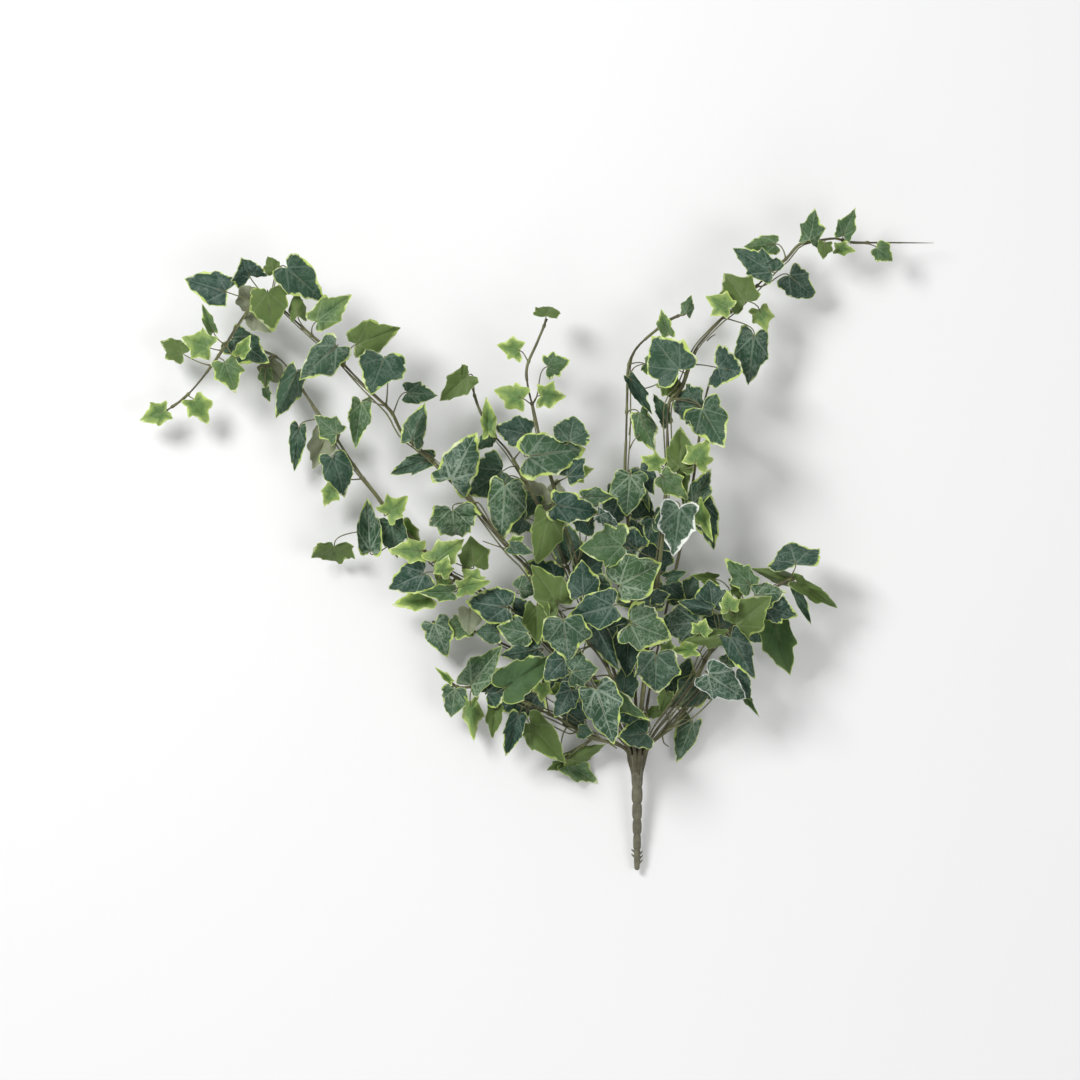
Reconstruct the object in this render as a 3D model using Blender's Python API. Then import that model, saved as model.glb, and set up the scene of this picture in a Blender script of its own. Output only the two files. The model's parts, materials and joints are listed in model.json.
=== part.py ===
"""Bush of artificial variegated ivy, lying on its side with its stake pointing to -Y.

The object is read in plan: X and Y are measured in millimetres from the crown, where the
stems leave the stake, and Z is the height above the surface the bush lies on.

Each stem is a thin wired core. Each spray of leaves is one moulding: a jacket threaded on
the core, with a petiole and a leaf for every entry of its list.
"""

import math

import bmesh
import bpy
from mathutils import Matrix, Vector
from mathutils.bvhtree import BVHTree

# Driving sizes, in millimetres.
PLAN_SCALE = 1.0  # spread of the whole bush in plan
HEIGHT_SCALE = 1.0  # depth of the bush above the surface it lies on
LEAF_SCALE = 1.0  # size of every leaf
LEAF_THICKNESS = 1.0
PETIOLE_RADIUS = 0.8
CORE_RADIUS = 1.3  # wired core of a stem, at the crown
CORE_TIP_RADIUS = 0.95
CORE_CLEARANCE = 0.3  # between a core and the jacket or the socket round it
JACKET_WALL = 1.1
JACKET_GAP = 1.5  # between neighbouring jackets on one core
NODE_GAP = 0.35  # smallest gap kept between leaves of different sprays
STAKE_LENGTH = 118.0
STAKE_RADIUS = 5.3  # of the widest bead
NECK_RADIUS = 11.0  # of the flared top of the stake
SOCKET_PITCH = 4.6
SOCKET_DEPTH = 7.0
CROWN_HEIGHT = 24.0
STAKE_TIP_HEIGHT = 6.6
PATH_STEP = 30.0  # length of one straight piece of a stem

SIDES = 6

# Stems: socket column and row in the neck, then points (x, y, z) away from the crown.
STEMS = {
    "A": ((-1.5, 1), [
        (-22, 40, 38), (-60, 105, 60), (-107, 183, 78), (-127, 205, 81), (-158, 243, 84),
        (-172, 262, 84), (-212, 302, 84), (-233, 320, 84), (-246, 344, 84), (-272, 369, 83),
        (-302, 399, 81), (-335, 428, 78), (-362, 452, 74), (-375, 455, 71), (-384, 450, 68),
        (-402, 425, 60), (-420, 397, 51), (-440, 371, 42), (-455, 356, 36), (-471, 345, 30)]),
    "B": ((-1, 0), [
        (-25, 40, 30), (-75, 95, 40), (-130, 145, 47), (-167, 170, 49), (-185, 180, 49),
        (-207, 198, 48), (-230, 222, 46), (-250, 246, 44), (-262, 262, 43), (-277, 281, 42),
        (-290, 300, 40), (-303, 320, 38), (-326, 352, 34), (-350, 388, 29), (-364, 400, 26),
        (-385, 408, 22)]),
    "C": ((-0.5, -1), [
        (-14, 45, 22), (-35, 105, 28), (-62, 170, 34), (-88, 230, 39), (-104, 260, 41),
        (-117, 284, 42), (-130, 305, 42), (-143, 320, 41), (-157, 344, 38), (-166, 371, 34)]),
    "D": ((-0.5, 1), [
        (-10, 45, 40), (-28, 100, 56), (-48, 160, 70), (-62, 200, 75), (-73, 232, 75),
        (-82, 265, 73), (-91, 295, 71), (-98, 320, 69), (-103, 343, 67), (-109, 368, 63),
        (-110, 388, 60), (-100, 412, 55), (-90, 436, 50)]),
    "E": ((0, 0), [
        (-2, 60, 32), (-6, 140, 45), (-9, 220, 52), (-12, 280, 55), (-11, 315, 55),
        (-10, 355, 54), (-9, 385, 52), (-5, 400, 50), (4, 412, 48), (28, 432, 43),
        (38, 438, 41), (48, 442, 39)]),
    "F": ((0.5, 1), [
        (5, 50, 42), (14, 130, 60), (24, 210, 70), (30, 280, 74), (30, 334, 75),
        (33, 355, 75), (44, 368, 74), (57, 403, 72), (70, 420, 70), (85, 436, 67),
        (94, 443, 65), (114, 463, 61), (136, 485, 56), (150, 497, 53), (163, 511, 50),
        (183, 515, 46), (199, 517, 43), (215, 513, 40), (250, 513, 33), (298, 513, 24)]),
    "G": ((1.5, 1), [
        (18, 22, 34), (40, 52, 47), (60, 80, 58), (72, 103, 65), (95, 127, 69),
        (113, 148, 69), (135, 166, 67), (157, 178, 62)]),
    "H": ((-2, 0), [
        (-22, 11, 25), (-50, 20, 28), (-80, 37, 31), (-105, 48, 33), (-130, 60, 33),
        (-157, 68, 31), (-181, 68, 28), (-200, 85, 24)]),
    "I": ((-1.5, -1), [
        (-25, 25, 17), (-60, 60, 17), (-105, 95, 19), (-150, 118, 21), (-185, 130, 21),
        (-205, 133, 20)]),
    "J": ((1, 0), [
        (12, 60, 31), (26, 130, 41), (42, 200, 47), (52, 250, 49), (60, 300, 48),
        (66, 345, 45), (74, 378, 41)]),
    "K": ((2, 0), [
        (22, 20, 27), (48, 48, 35), (72, 74, 41), (92, 92, 44), (110, 100, 44)]),
    "M": ((-0.5, 2), [
        (-10, 40, 50), (-26, 80, 76), (-50, 115, 92), (-74, 141, 97)]),
    "N": ((0.5, 2), [
        (5, 45, 54), (9, 95, 80), (5, 145, 97), (-9, 178, 104)]),
    "P": ((1.5, -1), [
        (24, 20, 18), (42, 36, 18), (66, 66, 19), (96, 100, 22), (125, 124, 25),
        (141, 130, 26)]),
}

# Leaf: x, y, z of its base, heading of its midrib in degrees from +X, length and width as
# seen in plan, kind. Kinds: D dark, G grey, M mid green, L light, O olive back, B pale back,
# P pale front, S plain mid green, W white-splashed, Y lime.
# Spray: name, stem, plan points between which its jacket runs, leaves.
SPRAYS = [
    ("A1", "A", (-447, 363), (-468, 347), [
        (-471, 345, 31, 200, 30, 28, "L"), (-444, 356, 40, 300, 30, 29, "L")]),
    ("A2", "A", (-410, 413), (-432, 382), [
        (-427, 407, 50, 160, 32, 32, "L"), (-424, 424, 50, 112, 30, 11, "M"),
        (-404, 417, 46, 326, 44, 34, "D"), (-412, 393, 62, 290, 34, 33, "M"),
        (-454, 401, 40, 150, 28, 24, "O"), (-397, 399, 68, 62, 24, 16, "L")]),
    ("A3", "A", (-362, 452), (-392, 440), [
        (-409, 462, 80, 162, 46, 40, "D"), (-386, 477, 76, 105, 18, 36, "D"),
        (-368, 462, 90, 276, 41, 42, "O"), (-385, 452, 58, 122, 22, 26, "B"),
        (-385, 444, 56, 312, 30, 28, "B"), (-362, 483, 70, 115, 17, 18, "O"),
        (-350, 487, 86, 318, 50, 38, "D")]),
    ("A4", "A", (-290, 388), (-336, 429), [
        (-338, 438, 86, 95, 28, 18, "O"), (-320, 432, 92, 38, 46, 30, "M"),
        (-299, 408, 98, 222, 50, 36, "D"), (-280, 410, 84, 20, 48, 36, "O")]),
    ("A5", "A", (-218, 307), (-250, 350), [
        (-252, 396, 102, 250, 36, 50, "D"), (-275, 352, 66, 262, 46, 26, "M"),
        (-229, 362, 92, 355, 32, 23, "D")]),
    ("A6", "A", (-160, 246), (-206, 297), [
        (-224, 314, 92, 62, 40, 24, "D"), (-205, 296, 76, 199, 48, 20, "D"),
        (-186, 274, 98, 62, 56, 44, "G"), (-184, 247, 98, 274, 33, 50, "G"),
        (-126, 208, 92, 345, 23, 14, "D"), (-126, 211, 84, 30, 16, 14, "Y")]),
    ("B1", "B", (-362, 398), (-383, 407), [
        (-372, 386, 20, 268, 20, 15, "M"), (-372, 367, 24, 285, 15, 10, "M"),
        (-372, 393, 12, 312, 30, 24, "B")]),
    ("B2", "B", (-298, 312), (-338, 370), [
        (-340, 384, 50, 255, 52, 26, "D"), (-338, 328, 34, 263, 45, 18, "D"),
        (-300, 321, 52, 140, 30, 28, "M"), (-309, 324, 22, 246, 42, 28, "B")]),
    ("B3", "B", (-248, 244), (-284, 291), [
        (-304, 298, 54, 287, 44, 32, "D"),
        (-303, 268, 36, 242, 22, 23, "L"), (-250, 240, 66, 42, 29, 28, "L")]),
    ("B4", "B", (-198, 190), (-236, 229), [
        (-267, 204, 58, 93, 54, 25, "G"), (-303, 211, 34, 266, 21, 42, "O"),
        (-246, 233, 56, 271, 37, 32, "D"), (-234, 232, 36, 306, 32, 16, "Y"),
        (-214, 204, 74, 179, 34, 27, "L"), (-203, 193, 80, 38, 40, 31, "L"),
        (-163, 189, 58, 97, 31, 32, "O")]),
    ("B5", "B", (-128, 143), (-188, 182), [
        (-196, 181, 86, 68, 21, 20, "L"), (-212, 182, 66, 204, 40, 38, "D"),
        (-206, 157, 40, 190, 41, 23, "Y"), (-184, 163, 72, 181, 34, 19, "M"),
        (-190, 168, 56, 130, 20, 19, "L"), (-160, 172, 66, 136, 21, 24, "L"),
        (-178, 167, 76, 12, 33, 22, "L"), (-130, 148, 70, 172, 42, 36, "D")]),
    ("C1", "C", (-142, 319), (-164, 364), [
        (-168, 380, 34, 222, 40, 28, "O"), (-148, 320, 54, 94, 40, 18, "L"),
        (-147, 319, 30, 230, 19, 16, "D")]),
    ("C2", "C", (-96, 245), (-126, 299), [
        (-108, 320, 54, 166, 36, 34, "D"), (-134, 284, 60, 214, 43, 50, "D"),
        (-132, 270, 88, 266, 58, 40, "G"), (-104, 258, 20, 250, 25, 24, "D"),
        (-95, 250, 26, 128, 36, 32, "B"), (-88, 240, 22, 78, 38, 34, "B")]),
    ("C3", "C", (-40, 118), (-70, 190), [
        (-118, 165, 44, 35, 24, 24, "G"), (-112, 142, 40, 130, 22, 20, "D"),
        (-45, 120, 24, 20, 44, 40, "D"), (-60, 90, 22, 215, 46, 42, "D"),
        (-80, 172, 18, 150, 40, 38, "D"), (-66, 196, 30, 95, 36, 34, "D"),
        (-112, 236, 40, 200, 30, 30, "D")]),
    ("D1", "D", (-109, 372), (-92, 430), [
        (-91, 438, 50, 74, 13, 28, "O"), (-117, 404, 60, 166, 25, 25, "L")]),
    ("D2", "D", (-94, 305), (-106, 355), [
        (-114, 356, 70, 162, 31, 31, "L"), (-90, 388, 66, 16, 24, 29, "M"),
        (-97, 359, 74, 359, 27, 27, "L"), (-110, 298, 98, 8, 62, 46, "G"),
        (-68, 313, 86, 88, 27, 40, "D")]),
    ("D3", "D", (-66, 211), (-86, 280), [
        (-70, 278, 88, 55, 26, 24, "D"), (-66, 279, 76, 18, 24, 22, "Y"),
        (-82, 250, 108, 350, 47, 35, "D"), (-88, 240, 100, 256, 52, 37, "O"),
        (-54, 257, 92, 2, 32, 19, "G")]),
    ("D4", "D", (-42, 142), (-60, 194), [
        (-54, 160, 100, 93, 36, 34, "D"), (-56, 238, 86, 300, 24, 23, "D"),
        (-38, 240, 96, 340, 23, 16, "W"), (-42, 172, 88, 312, 27, 25, "G"), (-50, 184, 44, 80, 34, 32, "D"),
        (-78, 151, 88, 116, 48, 37, "O")]),
    ("E1", "E", (6, 414), (43, 440), [
        (49, 442, 39, 74, 20, 13, "M"), (31, 420, 50, 105, 28, 15, "M")]),
    ("E2", "E", (-11, 340), (-7, 394), [
        (8, 391, 56, 335, 16, 20, "M"), (-8, 377, 66, 302, 44, 14, "D"),
        (2, 342, 66, 292, 44, 24, "M")]),
    ("E3", "E", (-10, 238), (-11, 315), [
        (24, 289, 82, 156, 24, 21, "L"), (-7, 279, 80, 264, 42, 36, "P"),
        (2, 286, 62, 300, 30, 22, "D"), (3, 276, 72, 287, 36, 13, "M"),
        (0, 232, 44, 272, 34, 22, "D"), (4, 236, 58, 70, 26, 26, "D"),
        (-16, 262, 40, 250, 40, 34, "D")]),
    ("F1", "F", (205, 516), (234, 513), [
        (240, 508, 34, 320, 22, 23, "M"), (206, 519, 46, 66, 31, 21, "M"),
        (199, 507, 42, 2, 21, 15, "L")]),
    ("F2", "F", (140, 489), (184, 515), [
        (172, 514, 54, 87, 35, 26, "M"), (188, 512, 44, 262, 17, 17, "O"),
        (139, 511, 56, 184, 32, 22, "M"), (135, 482, 70, 148, 48, 31, "D")]),
    ("F3", "F", (84, 435), (120, 469), [
        (152, 480, 50, 320, 36, 32, "D"), (108, 452, 68, 125, 38, 39, "O"),
        (92, 445, 80, 150, 28, 27, "L"), (122, 446, 54, 290, 24, 24, "L"),
        (117, 420, 56, 263, 52, 34, "D")]),
    ("F4", "F", (31, 345), (58, 404), [
        (42, 384, 84, 130, 46, 50, "D"), (30, 374, 66, 300, 23, 24, "O"),
        (30, 332, 66, 115, 34, 15, "D"), (62, 348, 92, 170, 32, 42, "D"),
        (64, 346, 84, 300, 46, 43, "D"), (81, 387, 66, 350, 23, 46, "D")]),
    ("F5", "F", (27, 248), (30, 320), [
        (42, 286, 86, 88, 44, 32, "O"), (57, 291, 92, 62, 30, 31, "L"),
        (24, 278, 98, 320, 36, 27, "M"), (42, 248, 96, 263, 50, 41, "W")]),
    ("F6", "F", (18, 165), (25, 228), [
        (26, 227, 86, 82, 24, 22, "D"), (16, 238, 60, 300, 46, 36, "D"),
        (14, 158, 78, 8, 20, 18, "D"), (0, 205, 50, 140, 40, 36, "D")]),
    ("J1", "J", (53, 255), (63, 322), [
        (45, 296, 68, 272, 50, 15, "O"), (56, 250, 60, 73, 42, 23, "G"),
        (64, 254, 40, 286, 52, 27, "D")]),
    ("J2", "J", (32, 155), (48, 232), [
        (60, 250, 80, 292, 40, 18, "L"), (30, 177, 66, 18, 21, 13, "D"),
        (29, 171, 58, 322, 26, 24, "D"), (14, 190, 24, 58, 38, 36, "D"), (44, 150, 36, 62, 36, 30, "D"),
        (22, 160, 20, 190, 44, 40, "D")]),
    ("G1", "G", (128, 161), (155, 177), [
        (158, 191, 70, 112, 24, 52, "D"), (158, 173, 62, 338, 52, 17, "O"),
        (158, 166, 54, 295, 42, 11, "D"), (154, 174, 58, 163, 44, 15, "O")]),
    ("G2", "G", (90, 122), (121, 154), [
        (113, 170, 80, 135, 38, 27, "M"), (118, 160, 84, 15, 31, 27, "G"),
        (125, 150, 72, 343, 38, 27, "D"), (98, 130, 80, 48, 46, 42, "O"),
        (104, 130, 60, 320, 28, 23, "D"), (92, 145, 90, 108, 20, 23, "L"),
        (104, 160, 64, 128, 22, 13, "O")]),
    ("G3", "G", (55, 73), (84, 115), [
        (75, 147, 74, 96, 30, 36, "D"), (73, 146, 84, 166, 34, 16, "D"),
        (85, 118, 94, 184, 40, 21, "O"), (62, 122, 88, 60, 16, 23, "L"),
        (60, 133, 76, 178, 44, 36, "G"), (58, 106, 76, 174, 27, 16, "Y"),
        (92, 119, 88, 300, 50, 28, "D")]),
    ("K1", "K", (70, 72), (106, 98), [
        (70, 82, 76, 325, 48, 37, "W"), (86, 92, 56, 20, 20, 16, "G"),
        (66, 70, 26, 215, 40, 36, "D"),
        (98, 82, 54, 300, 32, 22, "D"), (105, 62, 46, 297, 30, 9, "M")]),
    ("P1", "P", (104, 106), (139, 129), [
        (136, 137, 36, 287, 62, 34, "S"), (78, 176, 52, 172, 24, 13, "O"),
        (100, 120, 12, 150, 40, 38, "D")]),
    ("P2", "P", (30, 26), (62, 61), [
        (56, 32, 24, 250, 46, 24, "G"), (30, 62, 34, 255, 22, 16, "O"),
        (40, 60, 14, 60, 40, 36, "D"),
        (24, 44, 32, 195, 20, 15, "O")]),
    ("H1", "H", (-164, 68), (-188, 74), [
        (-182, 66, 28, 262, 30, 27, "G"), (-186, 73, 26, 138, 22, 8, "Y"),
        (-166, 70, 48, 52, 50, 31, "P"), (-167, 53, 38, 275, 40, 22, "L")]),
    ("H2", "H", (-106, 48), (-150, 66), [
        (-141, 46, 42, 262, 29, 18, "O"), (-150, 62, 52, 45, 42, 33, "D"),
        (-118, 40, 50, 252, 46, 21, "D"), (-108, 32, 38, 312, 54, 35, "O"),
        (-132, 68, 82, 24, 58, 38, "S")]),
    ("H3", "H", (-42, 17), (-92, 42), [
        (-95, 72, 58, 268, 20, 19, "Y"), (-70, -6, 22, 32, 42, 20, "O"),
        (-72, -9, 12, 338, 42, 23, "M"), (-74, -9, 14, 205, 18, 10, "O"),
        (-58, 24, 38, 350, 15, 15, "D"), (-66, 66, 64, 240, 34, 25, "D"),
        (-52, 34, 14, 150, 34, 30, "D")]),
    ("I1", "I", (-158, 121), (-202, 133), [
        (-203, 132, 32, 290, 38, 30, "G"), (-168, 128, 34, 186, 32, 26, "M"),
        (-167, 145, 48, 268, 26, 24, "B"), (-138, 122, 48, 178, 24, 24, "D")]),
    ("I2", "I", (-70, 68), (-122, 104), [
        (-108, 122, 70, 168, 34, 31, "G"), (-99, 106, 56, 180, 38, 25, "D"),
        (-100, 60, 10, 200, 44, 40, "D")]),
    ("M1", "M", (-44, 107), (-72, 139), [
        (-74, 136, 112, 278, 42, 48, "G"), (-100, 150, 82, 270, 40, 27, "O"),
        (-86, 146, 74, 214, 25, 22, "D"), (-66, 84, 110, 8, 28, 34, "G"),
        (-72, 97, 98, 236, 31, 29, "D"), (-45, 136, 94, 298, 60, 27, "D")]),
    ("M2", "M", (-12, 45), (-30, 86), [
        (-41, 67, 96, 288, 57, 44, "G"), (-38, 66, 84, 338, 60, 21, "M"),
        (-4, 44, 64, 205, 22, 20, "D"), (-14, 62, 44, 90, 32, 28, "D"), (-72, 66, 54, 190, 20, 17, "L")]),
    ("N1", "N", (5, 140), (-8, 176), [
        (-19, 170, 116, 28, 50, 46, "G"), (-15, 209, 126, 182, 43, 48, "M"),
        (-24, 150, 116, 195, 48, 38, "D"), (-8, 133, 104, 338, 46, 48, "G")]),
    ("N2", "N", (5, 46), (9, 110), [
        (18, 102, 100, 262, 43, 46, "G"), (-8, 126, 66, 266, 50, 32, "D"),
        (28, 112, 84, 290, 15, 17, "L"), (10, 22, 62, 188, 30, 34, "D")]),
]

# Half of the leaf outline, in parts of the length and of the width.
HALF_OUTLINE = [(-0.07, 0.36), (0.42, 0.50), (0.56, 0.24)]

def rad(degrees):
    return math.radians(degrees)


def spread(k, seed):
    """A repeatable number from -1 to 1 for item k."""
    return 2.0 * math.modf(abs(math.sin(k * 12.9898 + seed * 78.233)) * 43758.5453)[0] - 1.0


def plan(x, y, z):
    return Vector((x * PLAN_SCALE, y * PLAN_SCALE, z * HEIGHT_SCALE))


# Stake axis: from the crown down to the tip, and the two directions across it.
STAKE_TILT = math.asin((CROWN_HEIGHT - STAKE_TIP_HEIGHT) / STAKE_LENGTH)
CROWN = Vector((0.5, 0.0, CROWN_HEIGHT))
STAKE_UP = Vector((0.0, math.cos(STAKE_TILT), math.sin(STAKE_TILT)))
STAKE_OUT = Vector((0.0, -math.sin(STAKE_TILT), math.cos(STAKE_TILT)))


def socket_point(column, row):
    """Mouth of a socket in the top of the neck."""
    return CROWN + Vector((column * SOCKET_PITCH, 0, 0)) + STAKE_OUT * row * SOCKET_PITCH * 0.9


def catmull(points, step):
    """Smooth path through the points, in pieces of about one step."""
    out = [points[0]]
    for i in range(len(points) - 1):
        p1, p2 = points[i], points[i + 1]
        p0 = points[i - 1] if i else p1 * 2 - p2
        p3 = points[i + 2] if i + 2 < len(points) else p2 * 2 - p1
        count = max(1, round((p2 - p1).length / step))
        for k in range(1, count + 1):
            t = k / count
            a = (p2 - p0) * 0.5
            b = p0 - p1 * 2.5 + p2 * 2 - p3 * 0.5
            c = (p3 - p0) * 0.5 + (p1 - p2) * 1.5
            out.append(p1 + a * t + b * t * t + c * t * t * t)
    return out


def stem_path(name):
    (column, row), points = STEMS[name]
    mouth = socket_point(column, row)
    start = [mouth - STAKE_UP * (SOCKET_DEPTH - 1.0), mouth + STAKE_UP * 4.0]
    path = catmull([start[1]] + [plan(*p) for p in points], PATH_STEP)
    merged = [start[0], start[1]]
    for point in path[1:]:
        if (point - merged[-1]).length > 9.0 or point == path[-1]:
            merged.append(point)
    return merged


class Path:
    """A polyline with a frame at each corner that doesn't twist along it."""

    def __init__(self, points):
        self.points = points
        self.lengths = [0.0]
        for a, b in zip(points, points[1:]):
            self.lengths.append(self.lengths[-1] + (b - a).length)
        self.total = self.lengths[-1]

    def at(self, s):
        s = min(max(s, 0.0), self.total)
        for i in range(len(self.points) - 1):
            if s <= self.lengths[i + 1] or i == len(self.points) - 2:
                span = self.lengths[i + 1] - self.lengths[i]
                t = (s - self.lengths[i]) / span
                a, b = self.points[i], self.points[i + 1]
                return a.lerp(b, t), (b - a).normalized()

    def nearest(self, x, y):
        """Distance along the path of the place nearest to a point in plan."""
        best = None
        for k in range(int(self.total) + 1):
            p, _ = self.at(float(k))
            d = math.hypot(p.x - x * PLAN_SCALE, p.y - y * PLAN_SCALE)
            if best is None or d < best[0]:
                best = (d, float(k))
        return best[1]

    def clear_of_corner(self, s, step):
        """The same distance, moved on where it lies close to a corner of the path."""
        for corner in self.lengths:
            if abs(s - corner) < 2.5:
                s = corner + 2.5 * step
        return s

    def part(self, s0, s1):
        """Points of the path between two distances."""
        inner = [p for p, s in zip(self.points, self.lengths) if s0 < s < s1]
        return [self.at(s0)[0]] + inner + [self.at(s1)[0]]


def rings(points, radii, sides, up=Vector((0.31, 0.17, 0.93))):
    """Ring of corners round each point of a path, square to the path."""
    out = []
    for i, point in enumerate(points):
        ahead = points[min(i + 1, len(points) - 1)] - point
        behind = point - points[max(i - 1, 0)]
        tangent = (ahead.normalized() + behind.normalized()).normalized()
        side = tangent.cross(up).normalized()
        top = side.cross(tangent)
        ring = []
        for k in range(sides):
            angle = 2 * math.pi * k / sides
            ring.append(point + (side * math.cos(angle) + top * math.sin(angle)) * radii[i])
        out.append(ring)
    return out


def tube(points, radii, sides):
    """Solid rod round a path, as (vertices, faces)."""
    verts, faces = [], []
    ring_list = rings(points, radii, sides)
    for ring in ring_list:
        verts += ring
    for i in range(len(points) - 1):
        for k in range(sides):
            a, b = i * sides + k, i * sides + (k + 1) % sides
            faces.append((a, b, b + sides, a + sides))
    last = (len(points) - 1) * sides
    faces.append(tuple(range(sides - 1, -1, -1)))
    faces.append(tuple(range(last, last + sides)))
    return verts, faces


def sleeve(points, inner, outer, sides):
    """Hollow jacket round a path, open at both ends."""
    verts, faces = [], []
    inside = rings(points, inner, sides)
    outside = rings(points, outer, sides)
    for ring_in, ring_out in zip(inside, outside):
        verts += ring_in + ring_out
    for i in range(len(points) - 1):
        for k in range(sides):
            k2 = (k + 1) % sides
            a, b = i * 2 * sides + k, i * 2 * sides + k2
            c, d = a + 2 * sides, b + 2 * sides
            faces.append((b, a, c, d))
            faces.append((a + sides, b + sides, d + sides, c + sides))
    end = (len(points) - 1) * 2 * sides
    for k in range(sides):
        k2 = (k + 1) % sides
        faces.append((k, k2, k2 + sides, k + sides))
        faces.append((end + k2, end + k, end + k + sides, end + k2 + sides))
    return verts, faces


def core_radius(path, s):
    return CORE_RADIUS + (CORE_TIP_RADIUS - CORE_RADIUS) * min(1.0, s / path.total)


class Leaf:
    """Pose of one leaf and the path of its petiole."""

    def __init__(self, key, x, y, z, heading, length, width, tweak):
        dz, dpitch, dheading, shrink = tweak
        length = length * LEAF_SCALE * PLAN_SCALE * shrink
        width = width * LEAF_SCALE * PLAN_SCALE * shrink
        # A leaf that looks short or narrow in plan is tipped or folded.
        fold = rad(14)
        if width < 0.72 * length:
            fold = math.acos(max(0.62, width / (0.80 * length)))
        pitch = rad(9)
        if length < 0.78 * width:
            pitch = math.acos(max(0.66, length / (0.92 * width)))
        down = 1.0 if spread(key, 1) > -0.55 else -1.0
        self.pitch = pitch * down + rad(dpitch)
        self.fold = fold * (1.0 if spread(key, 2) > -0.4 else -1.0)
        self.roll = rad(7) * spread(key, 3)
        self.length = length / math.cos(self.pitch)
        self.half = 0.5 * width
        self.droop = 0.07 + 0.05 * spread(key, 4)
        self.base = plan(x, y, z + dz)
        turn = Matrix.Rotation(rad(heading + dheading), 3, "Z")
        tip = Matrix.Rotation(self.pitch, 3, "Y")
        lean = Matrix.Rotation(self.roll, 3, "X")
        self.axes = turn @ tip @ lean

    def surface(self, u, v):
        """Point of the middle surface: u along the midrib, v across in half widths."""
        across = v * self.half * 2
        along = u * self.length
        rise = abs(across) * math.tan(self.fold) * (0.55 + 0.45 * abs(v) * 2)
        rise -= self.droop * self.length * max(u, 0.0) ** 2
        return self.base + self.axes @ Vector((along, across, rise))

    def seat(self, attach):
        """Where the petiole meets the leaf, and the direction it comes from.

        attach is 0 for the base of the midrib, 1 for the upper face and -1 for the lower.
        """
        if attach == 0:
            return self.base, self.axes @ Vector((-1, 0, 0))
        normal = self.axes @ Vector((0, 0, attach))
        return self.surface(0.04, 0) + normal * (LEAF_THICKNESS / 2), normal

    def blade(self, extra=0.0, stalk=None, attach=0):
        """The leaf as a closed solid, thicker by extra on each side.

        Given the path of its petiole, the petiole grows out of the leaf in the same solid.
        """
        foot = PETIOLE_RADIUS * 0.8 / (2 * self.half)
        rim = [(0.0, foot)] + HALF_OUTLINE + [(1.0, 0.0)]
        rim += [(u, -v) for u, v in reversed(HALF_OUTLINE)] + [(0.0, -foot)]
        offset = self.axes @ Vector((0, 0, LEAF_THICKNESS / 2 + extra))
        grow = 1.0 + 2.0 * extra / self.length
        top, bottom = [], []
        for u, v in rim + [(0.45, 0.0), (0.10, 0.0)]:
            middle = self.surface(u * grow, v * grow)
            lift = Vector((0, 0, max(0.0, (offset - middle).z)))
            top.append(middle + offset + lift)
            bottom.append(middle - offset + lift)
        n = len(rim)
        low = n + 2
        verts = top + bottom
        faces = []
        for k in range(n - 1):
            faces.append((k, k + 1, n))
            faces.append((k + 1 + low, k + low, n + low))
            faces.append((k + 1, k, k + low, k + 1 + low))
        edge = (0, n - 1, n - 1 + low, low)
        if attach or stalk is None:
            faces.append(edge)
        for side, first in ((1, 0), (-1, low)):
            ends = (first, first + n - 1, first + n, first + n + 1)
            if stalk and attach == side:
                faces.append((ends[1], ends[2], ends[3]))
                faces.append((ends[2], ends[0], ends[3]))
                last = [ends[0], ends[1], ends[3]]
            else:
                faces.append((ends[1], ends[0], ends[2]))
        if stalk is None:
            return verts, faces
        across, lengthwise, normal = self.axes.col[1], self.axes.col[0], self.axes.col[2]
        half = PETIOLE_RADIUS * 0.8 + extra
        if attach:
            up = lengthwise.copy()
            corners = ((1, -0.6), (-1, -0.6), (0, 1.1))
        else:
            up = normal.copy()
            corners = ((1, 1), (-1, 1), (-1, -1), (1, -1))
            last = list(edge)
        side = across.copy()
        for i in range(len(stalk) - 2, -1, -1):
            tangent = (stalk[i + 1] - stalk[i]).normalized()
            if i:
                tangent = (tangent + (stalk[i] - stalk[i - 1]).normalized()).normalized()
            side = (side - tangent * side.dot(tangent)).normalized()
            up = (up - tangent * up.dot(tangent) - side * up.dot(side)).normalized()
            ring = list(range(len(verts), len(verts) + len(corners)))
            verts += [stalk[i] + (side * a + up * b) * half for a, b in corners]
            for k in range(len(corners)):
                k2 = (k + 1) % len(corners)
                faces.append((last[k], last[k2], ring[k2], ring[k]))
            last = ring
        faces.append(tuple(last))
        return verts, faces


def petiole_path(leaf, spot, axis, radius, route):
    """Curve from the jacket wall to the leaf."""
    _, lead, attach = route
    target, behind = leaf.seat(attach)
    out = target - spot
    out = out - axis * out.dot(axis)
    if out.length < 1.0:
        out = Vector((0, 0, 1)) - axis * axis.z
    out.normalize()
    reach = (target - spot).length
    flat = 0.866 * (radius + CORE_CLEARANCE + JACKET_WALL)
    start = spot + out * (flat - 0.25)
    c1 = start + out * max(2.0, reach * 0.28) + axis * reach * 0.1
    c2 = target + behind * max(2.0, reach * lead)
    pieces = 1 + (reach > 6) + (reach > 18) + (reach > 50)
    points = []
    for k in range(pieces):
        t = 1.12 * k / pieces
        p = start * (1 - t) ** 3 + c1 * 3 * t * (1 - t) ** 2
        p = p + c2 * 3 * t * t * (1 - t) + target * t ** 3
        p.z = max(p.z, PETIOLE_RADIUS)
        points.append(p)
    return points + [target]


def crosses_itself(verts, faces):
    """Whether two faces of a solid that share no corner touch."""
    tree = BVHTree.FromPolygons(verts, faces, epsilon=0.02)
    for a, b in tree.overlap(tree):
        if a < b and not set(faces[a]) & set(faces[b]):
            return True
    return False


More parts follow.
